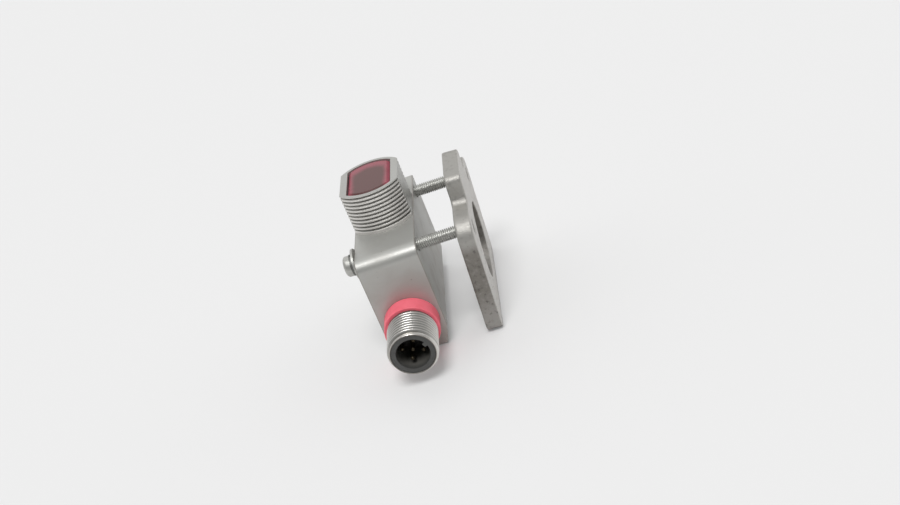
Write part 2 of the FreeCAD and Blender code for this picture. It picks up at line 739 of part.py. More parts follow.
FLANGE_FOOT = "(dims.panel_thickness + dims.button_play)"
STEM_FOOT = f"({FLANGE_FOOT} + dims.button_flange_thickness)"
STEM_TOP = f"({STEM_FOOT} + dims.button_stem_length)"
PLUNGER_TIP = f"({STEM_TOP} + dims.button_travel + dims.button_end_gap)"


def push_button(label, along):
    body = new_body(label)
    half_face = "dims.button_diameter / 2"
    half_flange = "(dims.button_diameter / 2 + dims.button_flange)"
    half_stem = "dims.button_stem_diameter / 2"
    section = new_sketch(body, f"{label}_section", "XZ_Plane")
    add_polygon(section, [
        ("0", "dims.button_recess"),
        (half_face, "dims.button_recess"),
        (half_face, FLANGE_FOOT),
        (half_flange, FLANGE_FOOT),
        (half_flange, STEM_FOOT),
        (half_stem, STEM_FOOT),
        (half_stem, STEM_TOP),
        ("0", STEM_TOP),
    ])
    revolve(body, f"{label}_turned", section, "V_Axis")
    body.setExpression("Placement.Base.y", along)
    return body


buttons = [push_button(f"{name}_button", along) for name, along in BUTTON_PLACES]

switches = []
for name, along in BUTTON_PLACES:
    case = box(
        f"{name}_switch_case",
        ("-dims.switch_size / 2", f"{along} - dims.switch_size / 2", f"{BOARD_FACE} - dims.switch_height"),
        ("dims.switch_size", "dims.switch_size", "dims.switch_height"))
    plunger = cylinder(
        f"{name}_switch_plunger", ("0", along, PLUNGER_TIP),
        "dims.plunger_diameter", f"{BOARD_FACE} - dims.switch_height - {PLUNGER_TIP}")
    switches.append(fuse(f"{name}_switch", [case, plunger]))
tact_switches = group("tact_switches", switches)


# Connector: stainless shell on a flat seal, black insert with a keyed cup, five pins

CONNECTOR_END = "(dims.body_below + dims.connector_length)"
COLLAR_FOOT = "(dims.body_below + dims.connector_seal_thickness)"
NECK_END = "(dims.body_below - dims.connector_neck_length)"
INSERT_STEP = f"({CONNECTOR_END} - dims.connector_bore_depth)"
INSERT_END = f"({CONNECTOR_END} - dims.insert_recess)"
CUP_FLOOR = f"({INSERT_END} - dims.insert_cup_depth)"
INSERT_TAIL = f"({NECK_END} - dims.insert_tail)"
RING_END = "(dims.body_below + dims.ring_length)"
THREAD_FOOT = f"({RING_END} + dims.thread_relief)"


def turned_on_connector(label, corners):
    """Turn a section about the connector's axis; it is drawn pointing down and laid over to -Y."""
    body = new_body(label)
    section = new_sketch(body, f"{label}_section", "XZ_Plane")
    add_polygon(section, corners)
    revolve(body, f"{label}_turned", section, "V_Axis")
    place(body, "0", "0", CONNECTOR_HEIGHT, ALONG_Y_DOWN)
    return body


shell = turned_on_connector("connector_shell", [
    ("dims.connector_neck_bore / 2", NECK_END),
    ("dims.connector_neck_diameter / 2", NECK_END),
    ("dims.connector_neck_diameter / 2", COLLAR_FOOT),
    ("dims.ring_seat_diameter / 2", COLLAR_FOOT),
    ("dims.ring_seat_diameter / 2", THREAD_FOOT),
    ("dims.connector_diameter / 2", THREAD_FOOT),
    ("dims.connector_diameter / 2", f"{CONNECTOR_END} - dims.thread_lead"),
    ("dims.connector_diameter / 2 - dims.thread_lead", CONNECTOR_END),
    ("dims.connector_bore / 2", CONNECTOR_END),
    ("dims.connector_bore / 2", INSERT_STEP),
    ("dims.connector_neck_bore / 2", INSERT_STEP),
])
THREAD_TOP = f"({CONNECTOR_END} - dims.thread_lead - dims.connector_pitch / 4)"
ring_thread(
    shell, "connector_thread", THREAD_TOP, "(dims.connector_diameter / 2)",
    "dims.connector_thread_depth", "dims.connector_pitch",
    f"floor(({THREAD_TOP} - {THREAD_FOOT}) / dims.connector_pitch)")
connector_seal = turned_on_connector("connector_seal", [
    ("dims.connector_neck_diameter / 2 + dims.seat_gap", "dims.body_below"),
    ("dims.ring_seat_diameter / 2", "dims.body_below"),
    ("dims.ring_seat_diameter / 2", COLLAR_FOOT),
    ("dims.connector_neck_diameter / 2 + dims.seat_gap", COLLAR_FOOT),
])
RING_INSIDE = "(dims.ring_seat_diameter / 2 + dims.ring_clearance)"
RING_OUTSIDE = f"({RING_INSIDE} + dims.ring_wall)"
colour_ring = turned_on_connector("colour_ring", [
    (RING_INSIDE, "dims.body_below"),
    (RING_OUTSIDE, "dims.body_below"),
    (RING_OUTSIDE, RING_END),
    (RING_INSIDE, RING_END),
])
ring_outside = size("ring_seat_diameter") / 2 + size("ring_clearance") + size("ring_wall")
round_edges(
    colour_ring, "ring_edges",
    lambda edge: isinstance(edge.Curve, Part.Circle) and near(edge.Curve.Radius, ring_outside),
    "dims.ring_round")
TAIL_RADIUS = "(dims.connector_neck_bore / 2 - dims.seat_gap)"
insert = turned_on_connector("connector_insert", [
    ("0", INSERT_TAIL),
    (TAIL_RADIUS, INSERT_TAIL),
    (TAIL_RADIUS, INSERT_STEP),
    ("dims.connector_bore / 2 - dims.seat_gap", INSERT_STEP),
    ("dims.connector_bore / 2 - dims.seat_gap", INSERT_END),
    ("dims.insert_cup_diameter / 2", INSERT_END),
    ("dims.insert_cup_diameter / 2", CUP_FLOOR),
    ("0", CUP_FLOOR),
])
key = new_sketch(insert, "key_outline", "XY_Plane", CUP_FLOOR)
CUP_RADIUS = "(dims.insert_cup_diameter / 2)"
add_rectangle(
    key, f"{CUP_RADIUS} - dims.key_height", f"(dims.connector_bore / 2 - dims.seat_gap + {CUP_RADIUS}) / 2",
    "-dims.key_width / 2", "dims.key_width / 2")
pad(insert, "key", key, "dims.insert_cup_depth")
key.setExpression("AttachmentOffset.Rotation.Angle", "dims.key_angle")
PIN_ANGLES = [f"(dims.key_angle + 45 + {quarter} * 90)" for quarter in range(4)]
PIN_PLACES = [("0", "0")] + [
    (f"(dims.pin_circle / 2 * cos({angle}))", f"(dims.pin_circle / 2 * sin({angle}))")
    for angle in PIN_ANGLES]
pin_holes = new_sketch(insert, "pin_hole_outline", "XY_Plane", CUP_FLOOR)
for across, up in PIN_PLACES:
    add_circle(pin_holes, across, up, "dims.pin_diameter + 2 * dims.pin_clearance")
pocket(insert, "pin_holes", pin_holes, f"{CUP_FLOOR} - {INSERT_TAIL}")

PIN_TIP = f"({INSERT_END} - dims.pin_recess)"
PIN_FOOT = f"({INSERT_TAIL} - dims.pin_tail)"
pins = []
for number, (across, up) in enumerate(PIN_PLACES, start=1):
    height = f"{CONNECTOR_HEIGHT} + {up}"
    shaft = cylinder(
        f"pin_shaft_{number}", (across, f"-{PIN_FOOT}", height), "dims.pin_diameter",
        f"{PIN_TIP} - dims.pin_diameter / 2 - {PIN_FOOT}", ALONG_Y_DOWN)
    tip = doc.addObject("Part::Sphere", f"pin_tip_{number}")
    tip.setExpression("Radius", "dims.pin_diameter / 2")
    place(tip, across, f"dims.pin_diameter / 2 - {PIN_TIP}", height)
    pins.append(fuse(f"pin_{number}", [shaft, tip]))
contact_pins = group("contact_pins", pins)


# Clamp screws: two long pan head screws through the housing, each on a plain and a split washer

SCREW_PLACES = [("upper", "dims.screw_above"), ("lower", "(-dims.screw_below)")]
HEAD_SEAT = "(dims.flat_washer_thickness + dims.spring_washer_thickness)"
HEAD_TOP = f"({HEAD_SEAT} + dims.head_height)"
SCREW_TIP = f"({HALF_WIDTH} + dims.plate_distance + dims.plate_thickness - dims.screw_tip_inset)"


def pan_head_screw(name, along):
    """A screw drawn upright, its shank leaving the housing's side at the origin, then laid along X."""
    body = new_body(f"{name}_screw")
    section = new_sketch(body, f"{name}_screw_section", "XZ_Plane")
    shank = "dims.screw_diameter / 2"
    add_polygon(section, [
        ("0", f"-{HEAD_TOP}"),
        ("dims.head_diameter / 2", f"-{HEAD_TOP}"),
        ("dims.head_diameter / 2", f"-{HEAD_SEAT}"),
        (shank, f"-{HEAD_SEAT}"),
        (shank, f"{SCREW_TIP} - dims.screw_tip_chamfer"),
        (f"{shank} - dims.screw_tip_chamfer", SCREW_TIP),
        ("0", SCREW_TIP),
    ])
    revolve(body, f"{name}_screw_turned", section, "V_Axis")
    head_radius = size("head_diameter") / 2
    head_top = -(size("flat_washer_thickness") + size("spring_washer_thickness") + size("head_height"))
    round_edges(
        body, f"{name}_screw_crown",
        lambda edge: isinstance(edge.Curve, Part.Circle) and near(edge.Curve.Radius, head_radius)
        and near(edge.Curve.Center.z, head_top), "dims.head_round")
    arms = (("dims.recess_length", "dims.recess_width"), ("dims.recess_width", "dims.recess_length"))
    for number, (across, up) in enumerate(arms, start=1):
        arm = new_sketch(body, f"{name}_recess_arm_{number}", "XY_Plane", f"-{HEAD_TOP}")
        add_rectangle(arm, f"-{across} / 2", f"{across} / 2", f"-{up} / 2", f"{up} / 2")
        pocket(body, f"{name}_recess_{number}", arm, "dims.recess_depth", along_normal=True)
    thread_top = f"({SCREW_TIP} - dims.screw_tip_chamfer - dims.screw_pitch / 4)"
    ring_thread(
        body, f"{name}_screw_thread", thread_top, f"({shank})", "dims.screw_thread_depth", "dims.screw_pitch",
        f"floor(({thread_top} - dims.body_width) / dims.screw_pitch)")
    place(body, f"-{HALF_WIDTH}", along, SCREW_HEIGHT, ALONG_X)
    return body


clamp_screws = group("clamp_screws", [pan_head_screw(name, along) for name, along in SCREW_PLACES])

WASHER_HOLE = "(dims.screw_diameter + 2 * dims.washer_clearance)"


def washer(name, along, seat, diameter, thickness):
    foot = (f"-{HALF_WIDTH} - {seat} - {thickness}", along, SCREW_HEIGHT)
    disc = cylinder(f"{name}_disc", foot, diameter, thickness, ALONG_X)
    hole = cylinder(f"{name}_hole", foot, WASHER_HOLE, thickness, ALONG_X)
    return cut(name, disc, hole)


flat_washers = group("flat_washers", [
    washer(f"{name}_flat_washer", along, "0", "dims.flat_washer_diameter", "dims.flat_washer_thickness")
    for name, along in SCREW_PLACES])
split_rings = []
for name, along in SCREW_PLACES:
    ring = washer(
        f"{name}_spring_ring", along, "dims.flat_washer_thickness",
        "dims.spring_washer_diameter", "dims.spring_washer_thickness")
    split = box(
        f"{name}_split",
        (f"-{HALF_WIDTH} - {HEAD_SEAT}", f"{along} - dims.spring_washer_split / 2", SCREW_HEIGHT),
        ("dims.spring_washer_thickness", "dims.spring_washer_split", "dims.spring_washer_diameter"))
    split_rings.append(cut(f"{name}_spring_washer", ring, split))
spring_washers = group("spring_washers", split_rings)


# Bracket plate: thick casting hung on the screw ends, leaning in so that its foot is on the floor

PLATE_HALF = "dims.plate_width / 2"
LOBE_HALF = "dims.plate_lobe_width / 2"
LOBE_TOP = "(dims.plate_shoulder + dims.plate_lobe_height)"
PLATE_FOOT = f"(({SCREW_HEIGHT} - dims.plate_thickness * sin(dims.plate_lean)) / cos(dims.plate_lean))"
plate = new_body("bracket_plate")
outline = new_sketch(plate, "plate_outline", "YZ_Plane")
add_polygon(outline, [
    (f"-{PLATE_HALF}", f"-{PLATE_FOOT}"),
    (PLATE_HALF, f"-{PLATE_FOOT}"),
    (PLATE_HALF, "dims.plate_shoulder"),
    (LOBE_HALF, "dims.plate_shoulder"),
    (LOBE_HALF, LOBE_TOP),
    (f"-{LOBE_HALF}", LOBE_TOP),
    (f"-{LOBE_HALF}", "dims.plate_shoulder"),
    (f"-{PLATE_HALF}", "dims.plate_shoulder"),
])
pad(plate, "plate_slab", outline, "dims.plate_thickness")
shoulder = size("plate_shoulder")
lobe_half = size("plate_lobe_width") / 2
plate_half = size("plate_width") / 2


def plate_corner(from_middle, is_there):
    """Pick the two corner edges at a distance from the plate's middle line, at a height to test."""
    def test(edge):
        middle = edge.CenterOfMass
        return runs_along(edge, X_AXIS) and near(abs(middle.y), from_middle) and is_there(middle.z)
    return test


corner_rounds = [
    ("shoulder_corners", plate_half, lambda up: up > 0, "dims.plate_shoulder_round"),
    ("lobe_corners", lobe_half, lambda up: up > shoulder, "dims.plate_lobe_round"),
    ("lobe_roots", lobe_half, lambda up: near(up, shoulder), "dims.plate_lobe_round"),
    ("rear_corners", plate_half, lambda up: up < 0, "dims.plate_rear_round"),
]
for name, from_middle, is_there, radius in corner_rounds:
    round_edges(plate, name, plate_corner(from_middle, is_there), radius)
round_edges(plate, "cast_edges", lambda edge: edge.BoundBox.XLength < 1e-4, "dims.plate_edge_round")
plate_holes = new_sketch(plate, "plate_hole_outline", "YZ_Plane", "dims.plate_thickness")
add_circle(plate_holes, "0", "-dims.plate_hole_back", "dims.plate_hole_diameter")
LEANING_HOLE = (
    "dims.screw_diameter + 2 * dims.screw_hole_clearance + dims.plate_thickness * tan(dims.plate_lean)")
for name, along in SCREW_PLACES:
    add_circle(plate_holes, f"{along} - {SCREW_MIDDLE}", "0", LEANING_HOLE)
pocket(plate, "plate_holes", plate_holes, "dims.plate_thickness")
leaning = FreeCAD.Rotation(Y_AXIS, size("plate_lean"))
place(plate, "dims.plate_distance", SCREW_MIDDLE, SCREW_HEIGHT, leaning)
plate.setExpression("Placement.Rotation.Angle", "dims.plate_lean")

doc.recompute()

pieces = [
    housing, window, seal, carrier, receiver_lens, collimator_lens, laser_diode, receiver_chip,
    optics_board, main_board, board_chips, display_board, display_module, status_lamps,
    tact_switches, panel, panel_seal, *buttons, shell, connector_seal, colour_ring, insert,
    contact_pins, clamp_screws, flat_washers, spring_washers, plate,
]

failed = [item.Name for item in doc.Objects if "Invalid" in item.State or "Error" in item.State]
if failed:
    raise RuntimeError(f"these did not build: {failed}")
for piece in pieces:
    if piece.Shape.isNull() or not piece.Shape.isValid():
        raise RuntimeError(f"{piece.Label} has no valid shape")

os.makedirs("parts", exist_ok=True)
for piece in pieces:
    piece.Shape.exportStep(f"parts/{piece.Label}.step")
    extent = piece.Shape.BoundBox
    print(
        f"{piece.Label:18s} solids {len(piece.Shape.Solids)}  volume {piece.Shape.Volume:9.2f}"
        f"  x {extent.XMin:7.2f} {extent.XMax:7.2f}  y {extent.YMin:7.2f} {extent.YMax:7.2f}"
        f"  z {extent.ZMin:7.2f} {extent.ZMax:7.2f}")
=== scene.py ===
import math

import bmesh
import bpy
from mathutils import Matrix, Vector


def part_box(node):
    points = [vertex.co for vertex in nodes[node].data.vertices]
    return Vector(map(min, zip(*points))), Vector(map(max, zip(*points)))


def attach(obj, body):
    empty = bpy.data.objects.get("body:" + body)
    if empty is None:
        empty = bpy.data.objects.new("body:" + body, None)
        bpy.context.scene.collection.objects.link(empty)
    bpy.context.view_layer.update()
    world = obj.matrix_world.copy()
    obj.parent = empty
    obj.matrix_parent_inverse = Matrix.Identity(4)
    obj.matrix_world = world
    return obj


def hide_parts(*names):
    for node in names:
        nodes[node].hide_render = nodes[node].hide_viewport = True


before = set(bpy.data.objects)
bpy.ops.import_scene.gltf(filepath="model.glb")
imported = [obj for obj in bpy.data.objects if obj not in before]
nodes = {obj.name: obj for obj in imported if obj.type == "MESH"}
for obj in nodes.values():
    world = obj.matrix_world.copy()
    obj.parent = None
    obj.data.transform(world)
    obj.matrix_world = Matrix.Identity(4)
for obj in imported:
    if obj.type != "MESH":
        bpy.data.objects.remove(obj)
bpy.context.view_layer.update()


# Housing: the sensor's block with its threaded barrel, milled and turned from one piece of
# stainless steel. Its satin faces are darker and warmer towards the foot, with soft, darker and
# rougher patches and a few specks. The thread's grooves are darker, partly dirt and partly painted
# shade, and its crests lighter, partly worn bright and partly a painted highlight; a thin painted
# line of shade runs along the block's edges.

MM = 0.001
STEEL = (0.485, 0.492, 0.470, 1)
STEEL_HANDLED = (0.39, 0.36, 0.33, 1)
STEEL_SPECK = (0.20, 0.18, 0.16, 1)
STEEL_WORN_AND_SHEEN = (0.74, 0.72, 0.69, 1)
GROOVE_DIRT_AND_SHADE = (0.26, 0.232, 0.205, 1)
BARREL_RADIUS = 9.0 * MM
BARREL_THREAD_DEPTH = 0.6 * MM
FLAT_REACH = 7.25 * MM
BLOCK_HEIGHT = 28.0 * MM
FRONT_ROUND = 3.0 * MM
EDGE_LINE = 0.3 * MM
EDGE_SHARE = 0.6
GROOVE_SHARE = 0.25
SPECK_SHARE = 0.5
DARKEST_BELOW = 2 * MM
DARKENING_AT_TOP = 0.4
HANDLED_LEAST = 0.35
HANDLED_MOST = 0.7
STEEL_ROUGHER = 0.08
FACE_MARGIN = 0.05 * MM
GRAIN_RANGE = (0.3, 0.7)
PATCH_RANGE = (0.38, 0.68)
SPECK_RANGE = (0.05, 0.16)
SPECK_PLACES = (0.52, 0.66)


def add(tree, kind, links=None, values=None, **settings):
    """Put a node into a material or a group, set its values and join its inputs to their sources."""
    item = tree.nodes.new("ShaderNode" + kind)
    for name, setting in settings.items():
        setattr(item, name, setting)
    for name, value in (values or {}).items():
        item.inputs[name].default_value = value
    for name, source in (links or {}).items():
        tree.links.new(source, item.inputs[name])
    return item


def ranged(tree, source, low, high, to_low=0.0, to_high=1.0):
    """Stretch a value from one range to another, with soft ends."""
    item = add(tree, "MapRange", {"Value": source}, {
        "From Min": low, "From Max": high, "To Min": to_low, "To Max": to_high},
        interpolation_type="SMOOTHSTEP")
    return item.outputs["Result"]


def fading(tree, source, low, high, most=1.0):
    """Fall from the most to nothing while a value goes from low to high, with soft ends."""
    return ranged(tree, source, low, high, most, 0.0)


def sum_of(tree, operation, first, second):
    """Join two values, each a socket or a number, by a sum such as ADD or MULTIPLY."""
    item = add(tree, "Math", operation=operation)
    for place, value in enumerate((first, second)):
        if isinstance(value, (int, float)):
            item.inputs[place].default_value = value
        else:
            tree.links.new(value, item.inputs[place])
    return item.outputs["Value"]


def unsigned(tree, value):
    """A value without its sign."""
    return sum_of(tree, "ABSOLUTE", value, 0.0)


def blended(tree, share, first, second):
    """Mix two colours, each a socket or a plain colour, by a share that varies over the surface."""
    item = add(tree, "Mix", data_type="RGBA")
    tree.links.new(share, item.inputs["Factor"])
    for name, colour in (("A", first), ("B", second)):
        socket = next(s for s in item.inputs if s.name == name and s.type == "RGBA")
        if isinstance(colour, tuple):
            socket.default_value = colour
        else:
            tree.links.new(colour, socket)
    return next(s for s in item.outputs if s.type == "RGBA")


def new_material(name, **plain):
    """Start a material; what is the same all over is set on its shader's own sockets."""
    material = bpy.data.materials.new(name)
    material.use_nodes = True
    shader = material.node_tree.nodes["Principled BSDF"]
    for socket, value in plain.items():
        shader.inputs[socket.replace("_", " ")].default_value = value
    return material, material.node_tree, shader


def bumped(tree, shader, height, strength, distance):
    """Let a height that varies over the surface lift the shader's normal."""
    bump = add(tree, "Bump", {"Height": height}, {"Strength": strength, "Distance": distance})
    tree.links.new(bump.outputs["Normal"], shader.inputs["Normal"])


def marks_group():
    """Fine grain, soft patches and small specks, as metal and plastic get them in use."""
    group = bpy.data.node_groups.new("handling_marks", "ShaderNodeTree")
    for name in ("Grain Scale", "Patch Scale", "Speck Scale"):
        group.interface.new_socket(name, in_out="INPUT", socket_type="NodeSocketFloat")
    for name in ("Grain", "Patches", "Specks"):
        group.interface.new_socket(name, in_out="OUTPUT", socket_type="NodeSocketFloat")
    start = group.nodes.new("NodeGroupInput")
    end = group.nodes.new("NodeGroupOutput")
    place = add(group, "TexCoord").outputs["Object"]
    grain = add(
        group, "TexNoise", {"Vector": place, "Scale": start.outputs["Grain Scale"]},
        {"Detail": 3.0, "Roughness": 0.6})
    patch = add(
        group, "TexNoise", {"Vector": place, "Scale": start.outputs["Patch Scale"]},
        {"Detail": 4.0, "Roughness": 0.55, "Distortion": 0.4})
    cells = add(group, "TexVoronoi", {"Vector": place, "Scale": start.outputs["Speck Scale"]})
    rarity = add(
        group, "TexNoise", {"Vector": place, "Scale": start.outputs["Patch Scale"]},
        {"Detail": 1.0})
    dots = fading(group, cells.outputs["Distance"], *SPECK_RANGE)
    where = ranged(group, rarity.outputs["Fac"], *SPECK_PLACES)
    group.links.new(grain.outputs["Fac"], end.inputs["Grain"])
    group.links.new(ranged(group, patch.outputs["Fac"], *PATCH_RANGE), end.inputs["Patches"])
    group.links.new(sum_of(group, "MULTIPLY", dots, where), end.inputs["Specks"])
    return group


handling_marks = marks_group()


def with_marks(tree, grain, patch, speck):
    """Place the handling marks in a material, with the sizes of its grain, patches and specks."""
    item = add(tree, "Group", node_tree=handling_marks)
    for name, size in (("Grain Scale", grain), ("Patch Scale", patch), ("Speck Scale", speck)):
        item.inputs[name].default_value = 1 / size
    return item.outputs


def from_axis(tree, first, second):
    """How far a point is from an axis, given its two places across that axis."""
    across = add(tree, "CombineXYZ", {"X": first, "Y": second}).outputs["Vector"]
    return add(tree, "VectorMath", {0: across}, operation="LENGTH").outputs["Value"]


def satin_steel(name, shade_and_wear, metal, roughness):
    """Blasted stainless steel; the function passed in tells how far each point is darkened (dirt and
    painted shade) and lightened (worn bright and a painted highlight).
    """
    material, tree, shader = new_material(name, Metallic=metal)
    marks = with_marks(tree, grain=0.22 * MM, patch=6 * MM, speck=1.6 * MM)
    place = add(tree, "TexCoord").outputs["Object"]
    axes = add(tree, "SeparateXYZ", {"Vector": place}).outputs
    # Darker and warmer towards the foot, less so towards the block's top.
    towards_foot = ranged(tree, axes["Z"], DARKEST_BELOW, BLOCK_HEIGHT, 1.0, DARKENING_AT_TOP)
    uneven = ranged(tree, marks["Patches"], 0, 1, HANDLED_LEAST, HANDLED_MOST)
    dulled = sum_of(tree, "MULTIPLY", uneven, towards_foot)
    colour = blended(tree, dulled, STEEL, STEEL_HANDLED)
    specks = sum_of(tree, "MULTIPLY", marks["Specks"], SPECK_SHARE)
    colour = blended(tree, specks, colour, STEEL_SPECK)
    groove, crest = shade_and_wear(tree, axes)
    # Darkened: the grooves partly by dirt and partly by painted shade, the edges and joins by painted
    # shade.
    colour = blended(tree, groove, colour, GROOVE_DIRT_AND_SHADE)
    # Lightened on the crests: partly worn bright, partly a painted highlight.
    tree.links.new(blended(tree, crest, colour, STEEL_WORN_AND_SHEEN), shader.inputs["Base Color"])
    rough = ranged(tree, marks["Patches"], 0, 1, roughness, roughness + STEEL_ROUGHER)
    tree.links.new(rough, shader.inputs["Roughness"])
    bumped(tree, shader, marks["Grain"], strength=0.25, distance=0.01 * MM)
    return material


def block_edge_shade(tree, axes):
    """A thin painted line of shade down both sides of the block's top, rounded front edge and front.
    """
    low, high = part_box("housing")
    aside = sum_of(tree, "SUBTRACT", high.x, unsigned(tree, axes["X"]))
    ahead = sum_of(tree, "SUBTRACT", low.y + FRONT_ROUND, axes["Y"])
    above = sum_of(tree, "SUBTRACT", axes["Z"], BLOCK_HEIGHT - FRONT_ROUND)
    out = from_axis(
        tree, sum_of(tree, "MAXIMUM", ahead, 0.0), sum_of(tree, "MAXIMUM", above, 0.0))
    inwards = unsigned(tree, sum_of(tree, "SUBTRACT", FRONT_ROUND, out))
    off_edge = sum_of(tree, "MAXIMUM", aside, inwards)
    return fading(tree, off_edge, EDGE_LINE / 2, EDGE_LINE, EDGE_SHARE)


def barrel_shade_and_wear(tree, axes):
    """Darker grooves (dirt and painted shade) and lighter crests (worn bright and a painted
    highlight) in the barrel's thread, which stop at its flats and end; painted shade lines on the
    block's edges.
    """
    barrel_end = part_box("housing")[1].z
    root = BARREL_RADIUS - BARREL_THREAD_DEPTH
    reach = from_axis(tree, axes["X"], axes["Y"])
    groove = fading(tree, reach, root, BARREL_RADIUS, GROOVE_SHARE)
    crest = ranged(tree, reach, BARREL_RADIUS - 4 * FACE_MARGIN, BARREL_RADIUS - FACE_MARGIN)
    aside = unsigned(tree, axes["X"])
    where = ranged(tree, reach, root - 2 * FACE_MARGIN, root - FACE_MARGIN)
    for limit in (
            fading(tree, aside, FLAT_REACH - 2 * FACE_MARGIN, FLAT_REACH - FACE_MARGIN),
            ranged(tree, axes["Z"], BLOCK_HEIGHT, BLOCK_HEIGHT + FACE_MARGIN),
            fading(tree, axes["Z"], barrel_end - 2 * FACE_MARGIN, barrel_end - FACE_MARGIN)):
        where = sum_of(tree, "MULTIPLY", where, limit)
    groove = sum_of(tree, "MULTIPLY", groove, where)
    crest = sum_of(tree, "MULTIPLY", crest, where)
    # The block's edges get a painted line of shade, in the groove colour.
    return sum_of(tree, "MAXIMUM", groove, block_edge_shade(tree, axes)), crest


def finish_node(name, material):
    """Give a piece that comes from the frame its finish."""
    nodes[name].data.materials.clear()
    nodes[name].data.materials.append(material)


finish_node("housing", satin_steel("satin_stainless", barrel_shade_and_wear, metal=0.5, roughness=0.40))


# Optics: a black carrier pressed into the barrel, with two glass lenses in front, the laser's
# gold-plated can and the receiver chip behind them. All of it is shut in behind the window.

MOULDED_ROUGHER = 0.12
POLISHED_ROUGHER = 0.1
GLASS_CLEAR = (0.95, 0.97, 0.98, 1)
GLASS_COATED = (0.86, 0.90, 0.97, 1)
GLASS_ROUGHEST = 0.04


def moulded(name, colour, worn, roughness, grain):
    """A moulded plastic or rubber: a fine grain, and dull patches where it has been touched."""
    material, tree, shader = new_material(name)
    marks = with_marks(tree, grain=grain, patch=4 * MM, speck=1.2 * MM)
    tree.links.new(blended(tree, marks["Patches"], colour, worn), shader.inputs["Base Color"])
    rough = ranged(tree, marks["Patches"], 0, 1, roughness, roughness + MOULDED_ROUGHER)
    tree.links.new(rough, shader.inputs["Roughness"])
    bumped(tree, shader, marks["Grain"], strength=0.3, distance=0.01 * MM)
    return material


def polished(name, colour, tarnished, roughness, metal=1.0):
    """A plated or bright metal with faint tarnish."""
    material, tree, shader = new_material(name, Metallic=metal)
    marks = with_marks(tree, grain=0.15 * MM, patch=1.5 * MM, speck=0.8 * MM)
    tree.links.new(blended(tree, marks["Patches"], colour, tarnished), shader.inputs["Base Color"])
    rough = ranged(tree, marks["Grain"], *GRAIN_RANGE, roughness, roughness + POLISHED_ROUGHER)
    tree.links.new(rough, shader.inputs["Roughness"])
    return material


def lens_glass():
    """Clear glass with a faint bluish coating."""
    material, tree, shader = new_material("lens_glass", Transmission_Weight=1.0, IOR=1.52)
    marks = with_marks(tree, grain=0.3 * MM, patch=2 * MM, speck=1 * MM)
    colour = blended(tree, marks["Patches"], GLASS_CLEAR, GLASS_COATED)
    tree.links.new(colour, shader.inputs["Base Color"])
    rough = ranged(tree, marks["Grain"], *GRAIN_RANGE, 0.0, GLASS_ROUGHEST)
    tree.links.new(rough, shader.inputs["Roughness"])
    return material


black_moulding = moulded(
    "black_moulding", colour=(0.020, 0.020, 0.021, 1), worn=(0.032, 0.032, 0.033, 1),
    roughness=0.5, grain=0.15 * MM)
chip_case = moulded(
    "chip_case", colour=(0.028, 0.028, 0.030, 1), worn=(0.045, 0.045, 0.047, 1),
    roughness=0.55, grain=0.1 * MM)
gold_can = polished(
    "gold_can", colour=(0.85, 0.66, 0.33, 1), tarnished=(0.60, 0.43, 0.22, 1), roughness=0.18)
glass = lens_glass()
finish_node("optics_carrier", black_moulding)
finish_node("receiver_lens", glass)
finish_node("collimator_lens", glass)
finish_node("laser_diode", gold_can)
finish_node("receiver_chip", chip_case)


# Window: a red filter plate in the mouth of the barrel, on a rubber seal. Its centre looks dark,
# and a pink glow is painted along its bevelled border at the two sides and the far arc, for the
# light that border gathers.

WINDOW_DARK = (0.105, 0.038, 0.036, 1)
WINDOW_GLOW = (0.345, 0.072, 0.102, 1)
WINDOW_RIM = (0.10, 0.030, 0.034, 1)
SIDE_GLOW = 2.2 * MM
SIDE_FADE = 1.8 * MM
FAR_GLOW = 4.2 * MM
FAR_FADE = 2.7 * MM
FAR_SHARE = 0.8
GLOW_CLOUD = 3 * MM
GLOW_WANDER = 0.15 * MM
RIM_WIDTH = 0.3 * MM
RIM_DARKEST = 0.12 * MM
BEVEL_WIDTH = 0.8 * MM
BEVEL_ROUGHNESS = 0.6
WINDOW_ROUGHNESS = 0.15


